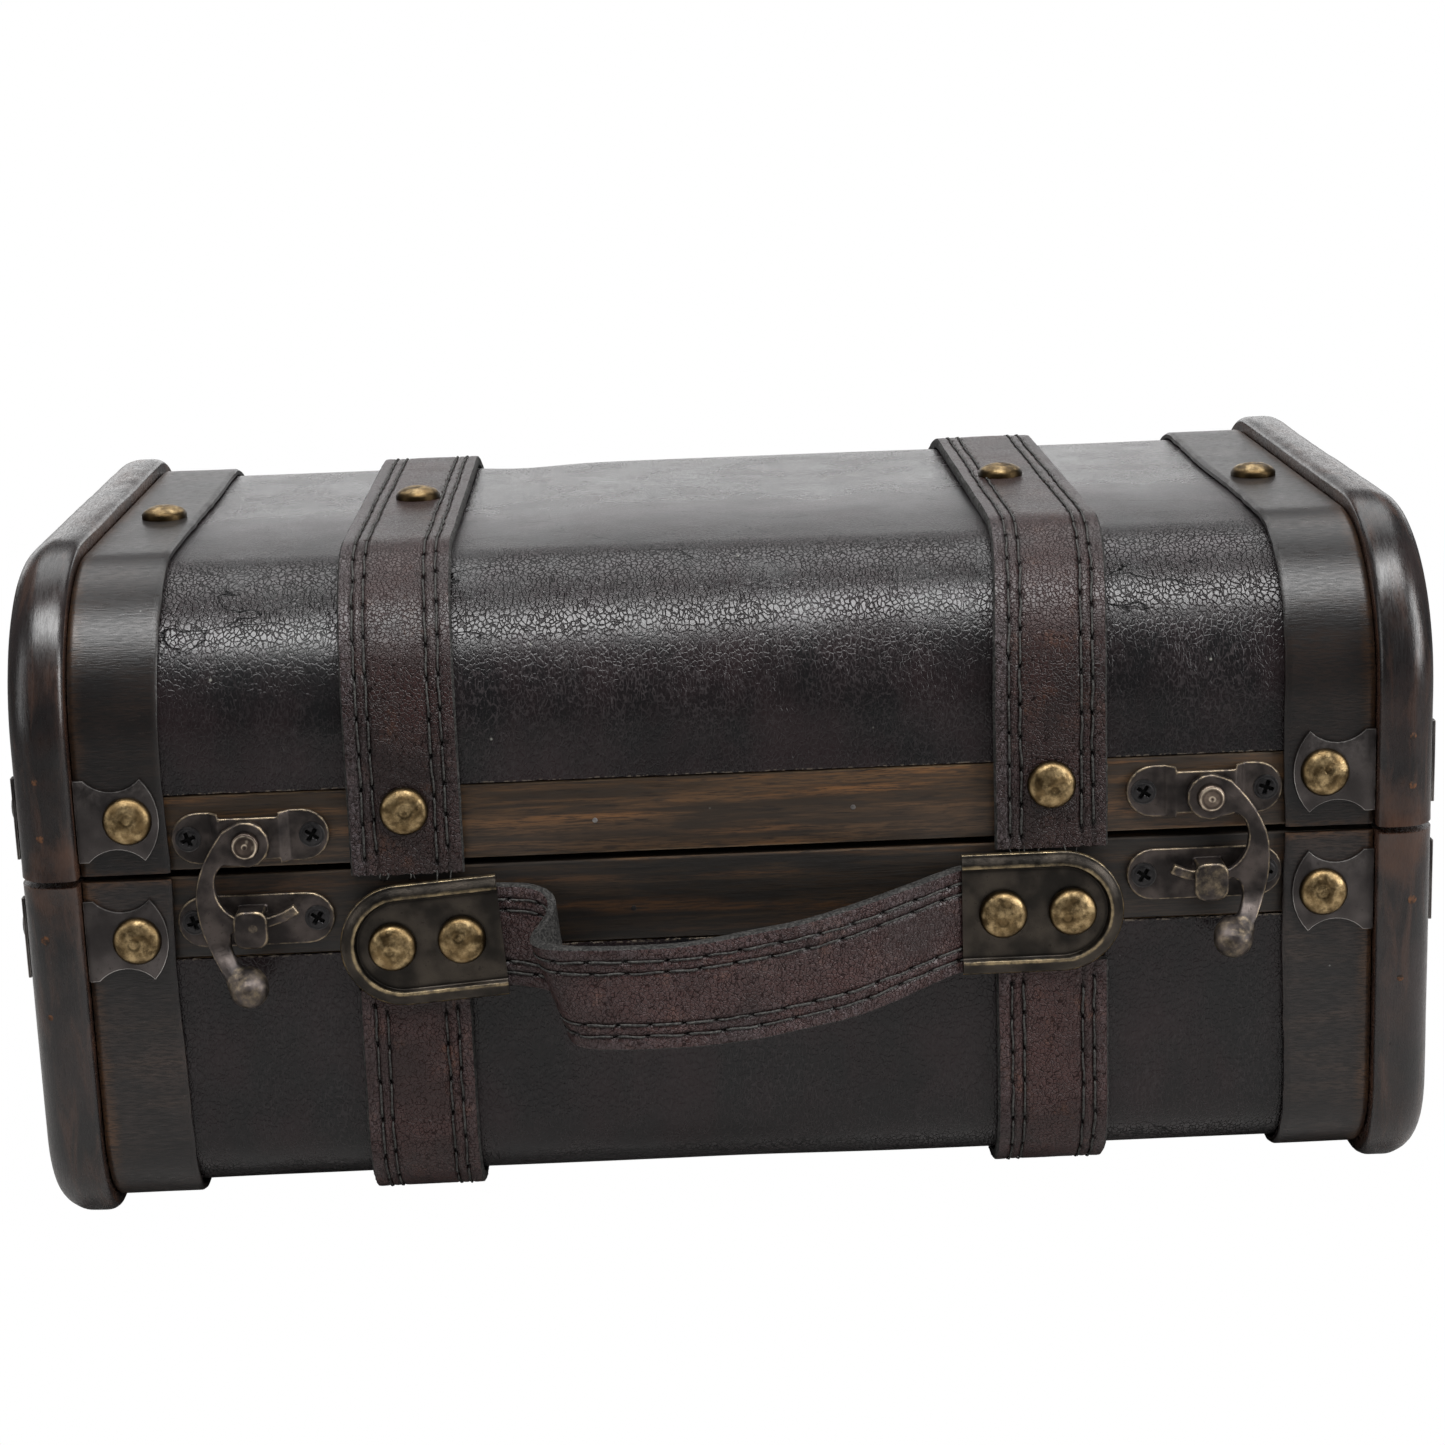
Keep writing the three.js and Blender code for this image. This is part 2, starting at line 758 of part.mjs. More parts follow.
function latchPlate() {
  const outline = roundedBar(latchPlateLength, latchPlateHeight);
  for (const way of [-1, 1])
    outline.holes.push(circleHole((way * screwSpacing) / 2, 0, screwHole / 2));
  outline.holes.push(circleHole(latchPlateShift, -latchPlateLift, pivotDiameter / 2 + runningGap));
  const tallest = bridgeRise + latchPlateThickness + overrun;
  const tall = slab(outline, tallest);
  const waist = new THREE.BoxGeometry(bridgeLength, 2 * bridgeWaist, 2 * tallest);
  const bent = slab(bridgedSection(), latchPlateHeight + 2 * overrun)
    .rotateX(Math.PI / 2)
    .translate(0, latchPlateHeight / 2 + overrun, 0);
  const pressed = toSolid(bent).intersect(toSolid(tall));
  return cut(
    toGeometry(pressed),
    waist.clone().translate(0, latchPlateHeight / 2, 0),
    waist.clone().translate(0, -latchPlateHeight / 2, 0),
  );
}

// The hook is an eye round the pivot, a curved arm, a tongue along an arc about the pivot and a ball.
// Places are shares of the hook's span to the side and of its reach below the pivot, before the hook
// leans in under its catch.
const armOuterShares = [
  [0.34, -0.12],
  [0.6, -0.0],
  [0.82, 0.14],
  [0.97, 0.3],
  [1.0, 0.46],
  [0.97, 0.62],
  [0.86, 0.77],
  [0.68, 0.91],
];
const armLowerShares = [
  [0.36, 0.92],
  [0.5, 0.8],
  [0.56, 0.7],
  [0.52, 0.62],
];
const armInnerShares = [
  [0.42, 0.495],
  [0.53, 0.445],
  [0.62, 0.36],
  [0.63, 0.26],
  [0.56, 0.17],
  [0.42, 0.12],
];

function hookShape() {
  const at = ([side, down]) => new THREE.Vector2(side * hookSpan, -down * hookReach);
  const inner = tongueRadius - tongueWidth / 2;
  const outer = tongueRadius + tongueWidth / 2;
  const tip = -Math.PI / 2 - tongueHalfAngle;
  const root = -Math.PI / 2 + tongueRootAngle;
  const eyeTurn = Math.PI / 3;
  const outline = [
    ...arcPoints(hookEyeRadius, -eyeTurn, eyeTurn - 2 * Math.PI),
    ...splinePoints(armOuterShares.map(at)),
    ...splinePoints(armLowerShares.map(at)),
    ...arcPoints(outer, root, tip),
    ...arcPoints(inner, tip, root),
    ...splinePoints(armInnerShares.map(at)),
  ];
  return new THREE.Shape(outline);
}

// Points of an arc about the origin, and of a smooth curve, both with their ends
function arcPoints(radius, from, to) {
  const steps = Math.max(leastArcSteps, Math.round((roundSegments * Math.abs(to - from)) / (2 * Math.PI)));
  return Array.from({ length: steps + 1 }, (_, i) => {
    const a = from + ((to - from) * i) / steps;
    return new THREE.Vector2(radius * Math.cos(a), radius * Math.sin(a));
  });
}

const splinePoints = (points) => new THREE.SplineCurve(points).getPoints(points.length + curveSteps);

function hook() {
  const flat = easedSlab(hookShape(), hookThickness, hookThickness * hookEaseShare);
  const places = flat.getAttribute("position");
  const bendStart = tongueRadius + tongueWidth;
  for (let i = 0; i < places.count; i++) {
    const down = -places.getY(i);
    const share = THREE.MathUtils.smoothstep(down, bendStart, hookReach);
    places.setZ(i, places.getZ(i) + share * ballOut);
  }
  const ball = new THREE.SphereGeometry(ballRadius, roundSegments, smallSegments).translate(
    ballSide,
    -hookReach,
    hookThickness / 2 + ballOut,
  );
  const bore = shank(pivotDiameter + 2 * runningGap, overrun, hookThickness + overrun, smallSegments);
  return cut(joined(flat, ball), bore);
}

function pivotRivet() {
  const length = hookThickness + latchPlateThickness + fitGap;
  const radius = pivotHeadDiameter / 2;
  const profile = [
    [0, -length],
    [pivotDiameter / 2, -length],
    [pivotDiameter / 2, 0],
    [radius, 0],
    [radius, pivotHeadHeight / 2],
    [radius * pivotCrownShare, pivotHeadHeight],
    [0, pivotHeadHeight],
  ];
  return new THREE.LatheGeometry(
    profile.map(([r, h]) => new THREE.Vector2(r, h)),
    roundSegments,
  ).rotateX(Math.PI / 2);
}

// Depths of the latch's layers in front of the rails
const latchBack = frontOf(railOuter) - fitGap;
const bridgeFront = latchBack - bridgeRise - latchPlateThickness;
const hookBack = bridgeFront - fitGap;
const hookFront = hookBack - hookThickness;
const catchHeadBack = hookFront - catchGap;

// The catch: a screwed bar with a lip bent out over the tongue and down in front of it
function catchPlate() {
  const outline = roundedBar(latchPlateLength, latchPlateHeight);
  for (const way of [-1, 1])
    outline.holes.push(circleHole((way * screwSpacing) / 2, 0, screwHole / 2));
  const bar = slab(outline, latchPlateThickness).translate(-latchPlateShift, 0, 0);
  const out = latchBack - catchHeadBack;
  const innerTongue = tongueRadius - tongueWidth / 2 - catchGap;
  const shelfUnder = catchDrop - Math.sqrt(innerTongue ** 2 - (catchShelfWidth / 2) ** 2);
  const shelf = new THREE.BoxGeometry(
    catchShelfWidth,
    catchShelfThickness,
    out + catchHeadThickness / 2,
  ).translate(
    0,
    shelfUnder + catchShelfThickness / 2,
    latchPlateThickness / 2 + (out + catchHeadThickness / 2 - latchPlateThickness / 2) / 2,
  );
  const halfWide = catchHeadWidth / 2;
  const round = catchHeadWidth * catchCornerShare;
  const top = shelfUnder + catchShelfThickness + catchGap;
  const low = top - catchHeadHeight;
  const head = new THREE.Shape();
  head.absarc(halfWide - round, top - round, round, 0, Math.PI / 2, false);
  head.absarc(round - halfWide, top - round, round, Math.PI / 2, Math.PI, false);
  head.absarc(round - halfWide, low + round, round, Math.PI, (3 * Math.PI) / 2, false);
  head.absarc(halfWide - round, low + round, round, (3 * Math.PI) / 2, 2 * Math.PI, false);
  const face = easedSlab(head, catchHeadThickness, catchHeadThickness * catchEaseShare).translate(0, 0, out);
  return joined(bar, shelf, face);
}

const mirrorFor = (geometry, side) => (side < 0 ? insideOut(geometry.scale(-1, 1, 1)) : geometry);

for (const [sideName, side] of sides) {
  const pivotZ = seamHeight + pivotRise[sideName];
  const onLid = new THREE.Group();
  onLid.position.set(side * latchCentre, 0, pivotZ);
  const plate = mirrorFor(turnedTo(latchPlate(), "front"), side);
  moved(plate, -side * latchPlateShift, latchBack, latchPlateLift);
  const rivet = moved(turnedTo(pivotRivet(), "front"), 0, hookFront - fitGap, 0);
  const leant = hook().rotateZ(-hookLean[sideName]);
  const swing = moved(mirrorFor(turnedTo(leant, "front"), side), 0, hookBack, 0);
  onLid.add(
    piece(`latch_plate_${sideName}`, plate, "bronze"),
    piece(`latch_pivot_${sideName}`, rivet, "bronze"),
    piece(`latch_hook_${sideName}`, swing, "bronze"),
  );
  lidGroup.add(onLid);

  const catchPiece = mirrorFor(turnedTo(catchPlate(), "front"), side);
  moved(catchPiece, side * latchCentre, latchBack, pivotZ - catchDrop);
  baseGroup.add(piece(`catch_plate_${sideName}`, catchPiece, "bronze"));
}

// Rear hinges: cranked leaves on the rear rails, with the knuckle just behind the end boards
const hingeY = halfDepth + hingeBehind;
const leafBack = -frontOf(railOuter) + fitGap;
const knuckle = hingeLength / 3;

function hingeLeaf(isLid) {
  const way = isLid ? 1 : -1;
  const low = seamGap / 2 + fitGap;
  const halfLong = hingeLength / 2;
  const corners = [
    new THREE.Vector2(-halfLong, way * low),
    new THREE.Vector2(halfLong, way * low),
    new THREE.Vector2(halfLong - leafTaper, way * hingeLeafHeight),
    new THREE.Vector2(leafTaper - halfLong, way * hingeLeafHeight),
  ];
  const shape = new THREE.Shape(isLid ? corners : corners.reverse());
  const holeY = way * hingeLeafHeight * screwRowShare;
  for (const side of [-1, 1])
    shape.holes.push(circleHole(side * knuckle, holeY, screwHole / 2 - runningGap));
  const leaf = turnedTo(slab(shape, hingeLeafThickness), "rear").translate(0, leafBack - hingeY, 0);
  const barrelAt = (x, length, radius, segments) =>
    new THREE.CylinderGeometry(radius, radius, length, segments).rotateZ(Math.PI / 2).translate(x, 0, 0);
  const webDepth = hingeY - leafBack;
  const webAt = (x, length) =>
    new THREE.BoxGeometry(length, webDepth, hingeLeafThickness).translate(
      x,
      -webDepth / 2,
      way * (low + hingeLeafThickness / 2),
    );
  const barrelLength = knuckle - fitGap;
  if (isLid) {
    const bore = barrelAt(0, knuckle + overrun, hingePinRadius + runningGap, smallSegments);
    const barrel = joined(
      barrelAt(0, barrelLength, knuckleRadius, roundSegments),
      webAt(0, barrelLength),
    );
    return joined(leaf, cut(barrel, bore));
  }
  const pin = barrelAt(0, 2 * knuckle, hingePinRadius, smallSegments);
  const barrels = [-1, 1].flatMap((side) => [
    barrelAt(side * knuckle, barrelLength, knuckleRadius, roundSegments),
    webAt(side * knuckle, barrelLength),
  ]);
  return joined(leaf, ...barrels, pin);
}

for (const [sideName, side] of sides)
  for (const [half, group] of [
    ["lid", lidGroup],
    ["base", baseGroup],
  ]) {
    const leaf = moved(hingeLeaf(half === "lid"), side * hingeCentre, hingeY, seamHeight);
    group.add(piece(`hinge_${half}_leaf_${sideName}`, leaf, "bronze"));
  }

// The handle stands further forward than the hinges stand back, so the case moves until its origin
// is at the middle of the whole object's footprint.
const reach = new THREE.Box3().setFromObject(rootGroup);
rootGroup.position.y = -(reach.min.y + reach.max.y) / 2;

export default rootGroup;
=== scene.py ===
"""Wooden suitcase box: pebbled leather, stitched straps, stained boards and worn brass.

Pieces are drawn in millimetres in the model's own frame, +Z up with the front towards -Y, and
are brought to metres when they are finished.
"""

import math
import random

import bmesh
import bpy
from mathutils import Matrix, Vector, noise


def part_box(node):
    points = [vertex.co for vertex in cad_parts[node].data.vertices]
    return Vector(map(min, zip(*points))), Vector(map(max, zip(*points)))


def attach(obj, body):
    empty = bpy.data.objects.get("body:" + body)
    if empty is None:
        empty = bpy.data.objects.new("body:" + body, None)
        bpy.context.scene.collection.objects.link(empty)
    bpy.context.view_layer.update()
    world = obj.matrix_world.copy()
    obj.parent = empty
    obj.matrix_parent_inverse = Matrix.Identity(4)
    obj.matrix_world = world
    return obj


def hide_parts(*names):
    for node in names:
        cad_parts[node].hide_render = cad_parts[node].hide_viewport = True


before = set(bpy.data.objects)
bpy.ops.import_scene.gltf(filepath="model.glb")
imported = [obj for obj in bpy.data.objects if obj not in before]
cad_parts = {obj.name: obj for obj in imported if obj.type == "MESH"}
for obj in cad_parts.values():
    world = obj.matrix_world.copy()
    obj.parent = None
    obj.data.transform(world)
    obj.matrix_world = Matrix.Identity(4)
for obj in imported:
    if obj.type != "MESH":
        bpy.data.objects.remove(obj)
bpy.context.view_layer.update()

MM = 0.001
SIDES = {"left": -1, "right": 1}
SIDE_SEED = {"left": 4, "right": 5}


# Camera, as the photograph was taken, in millimetres and radians
PHOTO_SIZE = 1445
FOCAL_PIXELS = 3000
SENSOR_WIDTH = 36
CAMERA_PLACE = Vector((-13.09, -737.35, 278.29))
CAMERA_YAW = 0.0191
CAMERA_PITCH = 0.2431
CAMERA_ROLL = -0.0361


def make_camera():
    ahead = Vector((0, math.cos(CAMERA_PITCH), -math.sin(CAMERA_PITCH)))
    ahead = Matrix.Rotation(-CAMERA_YAW, 3, "Z") @ ahead
    level = Vector((math.cos(CAMERA_YAW), -math.sin(CAMERA_YAW), 0))
    above = level.cross(ahead)
    right = level * math.cos(CAMERA_ROLL) + above * math.sin(CAMERA_ROLL)
    up = above * math.cos(CAMERA_ROLL) - level * math.sin(CAMERA_ROLL)
    data = bpy.data.cameras.new("photo_camera")
    data.sensor_width = SENSOR_WIDTH
    data.lens = FOCAL_PIXELS * SENSOR_WIDTH / PHOTO_SIZE
    camera = bpy.data.objects.new("photo_camera", data)
    bpy.context.scene.collection.objects.link(camera)
    turn = Matrix((right, up, -ahead)).transposed().to_4x4()
    camera.matrix_world = Matrix.Translation(CAMERA_PLACE * MM) @ turn
    bpy.context.scene.camera = camera


make_camera()


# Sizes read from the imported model
def box_mm(node):
    low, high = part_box(node)
    return low / MM, high / MM


def middle_mm(node):
    low, high = box_mm(node)
    return (low + high) / 2


base_board_low, base_board_high = box_mm("base_end_board_left")
lid_board_low, lid_board_high = box_mm("lid_end_board_left")
CASE_HALF = -base_board_low.x
HALF_DEPTH = (base_board_high.y - base_board_low.y) / 2
MIDDLE_Y = (base_board_high.y + base_board_low.y) / 2
FRONT_Y = base_board_low.y
CASE_TOP = lid_board_high.z
SEAM = {"lid": lid_board_low.z, "base": base_board_high.z}
FAR_FACE = {"lid": CASE_TOP, "base": base_board_low.z}
UP = {"lid": 1, "base": -1}
CORNER_RADIUS = {"lid": 40.8, "base": 24.5}
SEAM_HEIGHT = (SEAM["lid"] + SEAM["base"]) / 2


def depth_of(node, half):
    """How far a wrapped layer's outer face lies under the boards' crest."""
    low, high = box_mm(node)
    return CASE_TOP - high.z if half == "lid" else low.z - FAR_FACE["base"]


class Wrap:
    """The way round one half of the case, from its front edge over the far face to its rear edge.

    s runs along the way and h stands out from it.
    """

    def __init__(self, half, depth, front_z, rear_z):
        self.up = UP[half]
        radius = CORNER_RADIUS[half]
        self.front_z = front_z
        self.bend = radius - depth
        self.reach = HALF_DEPTH - radius
        self.level = FAR_FACE[half] - self.up * radius
        self.rise = abs(self.level - front_z)
        self.arc = self.bend * math.pi / 2
        self.flat = 2 * self.reach
        self.fall = abs(self.level - rear_z)
        self.length = self.rise + 2 * self.arc + self.flat + self.fall

    def at(self, x, s, h=0.0):
        if s < self.rise:
            y = -self.reach - self.bend - h
            z = self.front_z + self.up * s
        elif s < self.rise + self.arc:
            turn = (s - self.rise) / self.bend
            y = -self.reach - (self.bend + h) * math.cos(turn)
            z = self.level + self.up * (self.bend + h) * math.sin(turn)
        elif s < self.rise + self.arc + self.flat:
            y = s - self.rise - self.arc - self.reach
            z = self.level + self.up * (self.bend + h)
        elif s < self.rise + 2 * self.arc + self.flat:
            turn = (s - self.rise - self.arc - self.flat) / self.bend
            y = self.reach + (self.bend + h) * math.sin(turn)
            z = self.level + self.up * (self.bend + h) * math.cos(turn)
        else:
            y = self.reach + self.bend + h
            z = self.level - self.up * (s - self.rise - 2 * self.arc - self.flat)
        return Vector((x, MIDDLE_Y + y, z))

    def stations(self, counts):
        """Distances along the way, with the same number in each run of it whatever the depth."""
        runs = (self.rise, self.arc, self.flat, self.arc, self.fall)
        found = [0.0]
        start = 0.0
        for run, count in zip(runs, counts):
            found += [start + run * (step + 1) / count for step in range(count)]
            start += run
        return found


# Small helpers
def smooth(value, low, high):
    """0 below low, 1 above high and a smooth step between."""
    share = min(1.0, max(0.0, (value - low) / (high - low)))
    return share * share * (3 - 2 * share)


def bump(distance, width):
    """A bell round zero, 1 in its middle."""
    return math.exp(-((distance / width) ** 2))


def wander(x, y, seed, size):
    """Slow random drift from -1 to 1 with features of about that size."""
    return noise.noise(Vector((x / size, y / size, seed)))


# Node trees
def join(tree, value, socket):
    """Feeds a socket from another one or gives it a plain value."""
    if isinstance(value, bpy.types.NodeSocket):
        tree.links.new(value, socket)
    else:
        socket.default_value = value


def node(tree, kind, inputs=None, **settings):
    made = tree.nodes.new(kind)
    for name, value in settings.items():
        setattr(made, name, value)
    for name, value in (inputs or {}).items():
        join(tree, value, made.inputs[name])
    return made


def noise_node(tree, vector, scale, detail=4.0, roughness=0.55, distortion=0.0):
    inputs = {
        "Vector": vector,
        "Scale": scale,
        "Detail": detail,
        "Roughness": roughness,
        "Distortion": distortion,
    }
    return node(tree, "ShaderNodeTexNoise", inputs).outputs["Fac"]


def spread(tree, value, low, high, to_low=0.0, to_high=1.0):
    """A smooth step from to_low to to_high as the value goes from low to high."""
    inputs = {"Value": value, "From Min": low, "From Max": high, "To Min": to_low, "To Max": to_high}
    kind = "ShaderNodeMapRange"
    return node(tree, kind, inputs, interpolation_type="SMOOTHSTEP").outputs["Result"]


def maths(tree, operation, *values):
    return node(tree, "ShaderNodeMath", dict(enumerate(values)), operation=operation).outputs[0]


def times(tree, first, second):
    return maths(tree, "MULTIPLY", first, second)


def added(tree, total, value, share):
    """The total with a share of the value added to it."""
    return maths(tree, "MULTIPLY_ADD", value, share, total)


# A Mix node's colours go into its sockets 6 and 7 and come out of its socket 2
MIX_MASK = 0
MIX_COLOURS = (6, 7)
MIX_RESULT = 2


def blend_colour(tree, mask, first, second, blend_type="MIX"):
    """Goes from the first colour to the second as the mask goes from 0 to 1."""
    inputs = {MIX_MASK: mask}
    for socket, colour in zip(MIX_COLOURS, (first, second)):
        inputs[socket] = (*colour, 1) if isinstance(colour, tuple) else colour
    made = node(tree, "ShaderNodeMix", data_type="RGBA", blend_type=blend_type)
    for socket, value in inputs.items():
        join(tree, value, made.inputs[socket])
    return made.outputs[MIX_RESULT]


def vector_maths(tree, operation, first, second):
    return node(tree, "ShaderNodeVectorMath", {0: first, 1: second}, operation=operation).outputs[0]


def stretched(tree, vector, scale):
    return vector_maths(tree, "MULTIPLY", vector, scale)


def new_group(name, sockets_in, sockets_out):
    """An empty effect with named sockets: returns its tree, what it is given and its results."""
    tree = bpy.data.node_groups.new(name, "ShaderNodeTree")
    for socket, kind, value in sockets_in:
        made = tree.interface.new_socket(socket, in_out="INPUT", socket_type=kind)
        if value is not None:
            made.default_value = value
    for socket, kind in sockets_out:
        tree.interface.new_socket(socket, in_out="OUTPUT", socket_type=kind)
    inlet = tree.nodes.new("NodeGroupInput")
    outlet = tree.nodes.new("NodeGroupOutput")
    return tree, inlet.outputs, outlet.inputs


def place_group(tree, group, **inputs):
    """An effect placed in a material: each named input is a socket of the effect."""
    made = tree.nodes.new("ShaderNodeGroup")
    made.node_tree = group
    for name, value in inputs.items():
        join(tree, value, made.inputs[name.capitalize()])
    return made.outputs


def warped(tree, vector, scale, reach):
    """Pushes the places about so that what is drawn at them turns irregular."""
    push = node(tree, "ShaderNodeTexNoise", {"Vector": vector, "Scale": scale, "Detail": 3.0})
    centred = vector_maths(tree, "SUBTRACT", push.outputs["Color"], (0.5, 0.5, 0.5))
    shift = stretched(tree, centred, (reach, reach, reach))
    return vector_maths(tree, "ADD", vector, shift)


def edge_distance(tree, vector, scale):
    inputs = {"Vector": vector, "Scale": scale}
    return node(tree, "ShaderNodeTexVoronoi", inputs, feature="DISTANCE_TO_EDGE").outputs["Distance"]


def pebble_effect():
    """Leather grain: small irregular plates with dark cracks between them and finer ones across them."""
    sockets = [
        ("Vector", "NodeSocketVector", None),
        ("Cells", "NodeSocketFloat", 900.0),
    ]
    results = [("Height", "NodeSocketFloat"), ("Crease", "NodeSocketFloat"), ("Mottle", "NodeSocketFloat")]
    tree, given, result = new_group("pebble_grain", sockets, results)
    moved = warped(tree, given["Vector"], 300.0, 0.0022)
    plates = edge_distance(tree, moved, given["Cells"])
    small = edge_distance(tree, moved, times(tree, given["Cells"], 2.1))
    patches = noise_node(tree, given["Vector"], 60.0, 4.0, 0.6)
    deep = spread(tree, patches, 0.3, 0.6, 0.6, 1.0)
    crack = spread(tree, plates, 0.01, 0.12, 1.0, 0.0)
    folds = noise_node(tree, given["Vector"], 30.0, 4.0, 0.55, 0.8)
    lumps = noise_node(tree, given["Vector"], 520.0, 2.0)
    height = times(tree, spread(tree, plates, 0.0, 0.15), deep)
    height = added(tree, height, spread(tree, small, 0.0, 0.2), 0.1)
    height = added(tree, height, folds, 0.3)
    height = added(tree, height, lumps, 0.4)
    tree.links.new(height, result["Height"])
    tree.links.new(times(tree, crack, deep), result["Crease"])
    tree.links.new(patches, result["Mottle"])
    return tree


def crease_effect():
    """A few long fine creases, as where a skin has been folded."""
    sockets = [("Vector", "NodeSocketVector", None)]
    tree, given, result = new_group("long_creases", sockets, [("Mask", "NodeSocketFloat")])
    drawn = warped(tree, stretched(tree, given["Vector"], (0.7, 1.5, 1.5)), 60.0, 0.022)
    line = spread(tree, edge_distance(tree, drawn, 26.0), 0.002, 0.009, 1.0, 0.0)
    some = spread(tree, noise_node(tree, given["Vector"], 24.0, 2.0), 0.49, 0.57)
    tree.links.new(times(tree, line, some), result["Mask"])
    return tree


def grain_effect():
    """Wood: broad stained streaks and fine fibres, longest in the direction of Stretch's least value."""
    sockets = [
        ("Vector", "NodeSocketVector", None),
        ("Stretch", "NodeSocketVector", (1.0, 1.0, 1.0)),
    ]
    results = [("Streak", "NodeSocketFloat"), ("Fibre", "NodeSocketFloat"), ("Blotch", "NodeSocketFloat")]
    tree, given, result = new_group("wood_grain", sockets, results)
    run = stretched(tree, given["Vector"], given["Stretch"])
    tree.links.new(noise_node(tree, run, 22.0, 5.0, 0.6, 0.6), result["Streak"])
    tree.links.new(noise_node(tree, run, 150.0, 4.0, 0.7), result["Fibre"])
    tree.links.new(noise_node(tree, given["Vector"], 38.0, 4.0, 0.6), result["Blotch"])
    return tree


def wear_effect():
    """Mask is broken and shows only where Edge is high, and Grime lies in broad patches."""
    sockets = [
        ("Vector", "NodeSocketVector", None),
        ("Edge", "NodeSocketFloat", 0.0),
        ("Scale", "NodeSocketFloat", 300.0),
        ("Amount", "NodeSocketFloat", 0.5),
    ]
    results = [("Mask", "NodeSocketFloat"), ("Grime", "NodeSocketFloat")]
    tree, given, result = new_group("worn_edge", sockets, results)
    patch_noise = noise_node(tree, given["Vector"], given["Scale"], 5.0, 0.65)
    lifted = maths(tree, "ADD", patch_noise, given["Amount"])
    reached = times(tree, lifted, given["Edge"])
    tree.links.new(spread(tree, reached, 0.3, 0.75), result["Mask"])
    grime = noise_node(tree, given["Vector"], times(tree, given["Scale"], 0.4))
    tree.links.new(grime, result["Grime"])
    return tree


def speck_effect():
    """Sparse small round specks, such as dust and pits."""
    sockets = [
        ("Vector", "NodeSocketVector", None),
        ("Scale", "NodeSocketFloat", 220.0),
        ("Rarity", "NodeSocketFloat", 0.9),
    ]
    tree, given, result = new_group("dust_specks", sockets, [("Mask", "NodeSocketFloat")])
    inputs = {"Vector": given["Vector"], "Scale": given["Scale"]}
    cells = node(tree, "ShaderNodeTexVoronoi", inputs, feature="F1")
    near = spread(tree, cells.outputs["Distance"], 0.03, 0.1, 1.0, 0.0)
    pick = node(tree, "ShaderNodeSeparateColor", {0: cells.outputs["Color"]}).outputs[0]
    rare = maths(tree, "GREATER_THAN", pick, given["Rarity"])
    tree.links.new(times(tree, near, rare), result["Mask"])
    return tree


PEBBLE = pebble_effect()
CREASES = crease_effect()
GRAIN = grain_effect()
WEAR = wear_effect()
SPECKS = speck_effect()


def new_material(name, **constants):
    """A material with its Principled shader; constant values go on the shader's own sockets."""
    material = bpy.data.materials.new(name)
    material.use_nodes = True
    tree = material.node_tree
    shader = tree.nodes["Principled BSDF"]
    for socket, value in constants.items():
        shader.inputs[socket.replace("_", " ")].default_value = value
    where = tree.nodes.new("ShaderNodeTexCoord").outputs["Object"]
    return material, tree, shader, where


def feed(tree, shader, colour, roughness, height, strength, depth):
    """Links colour, roughness and relief to the shader. depth is the relief's height in millimetres."""
    tree.links.new(colour, shader.inputs["Base Color"])
    tree.links.new(roughness, shader.inputs["Roughness"])
    inputs = {"Height": height, "Strength": strength, "Distance": depth * MM}
    tree.links.new(node(tree, "ShaderNodeBump", inputs).outputs[0], shader.inputs["Normal"])


def paint_shade_in_hollows(tree, shader, hollows, full, share):
    """Painted shade in hollows: up to that share of them turns to black metal, which takes their gloss
    away.
    """
    tree.links.new(spread(tree, hollows, 0.0, full, 0.0, share), shader.inputs["Metallic"])


def mark(tree, name):
    """One of the marks that the pieces' meshes carry, such as where an edge is worn."""
    return node(tree, "ShaderNodeAttribute", attribute_name=name).outputs["Fac"]


def hair_creases(tree, where):
    """Fine upright creases, thickest in patches, painted paler as a painted highlight of the little light
    they catch.
    """
    drawn = warped(tree, stretched(tree, where, (1.0, 0.5, 0.4)), 220.0, 0.003)
    hairs = spread(tree, edge_distance(tree, drawn, 1150.0), 0.02, 0.15, 1.0, 0.0)
    patches = noise_node(tree, stretched(tree, where, (1.0, 0.6, 0.6)), 48.0, 4.0, 0.6)
    some = spread(tree, patches, 0.36, 0.62, 0.25, 1.0)
    broken = spread(tree, noise_node(tree, where, 900.0, 3.0), 0.38, 0.58)
    seen = times(tree, some, mark(tree, "hairs"))
    return times(tree, hairs, times(tree, seen, broken))


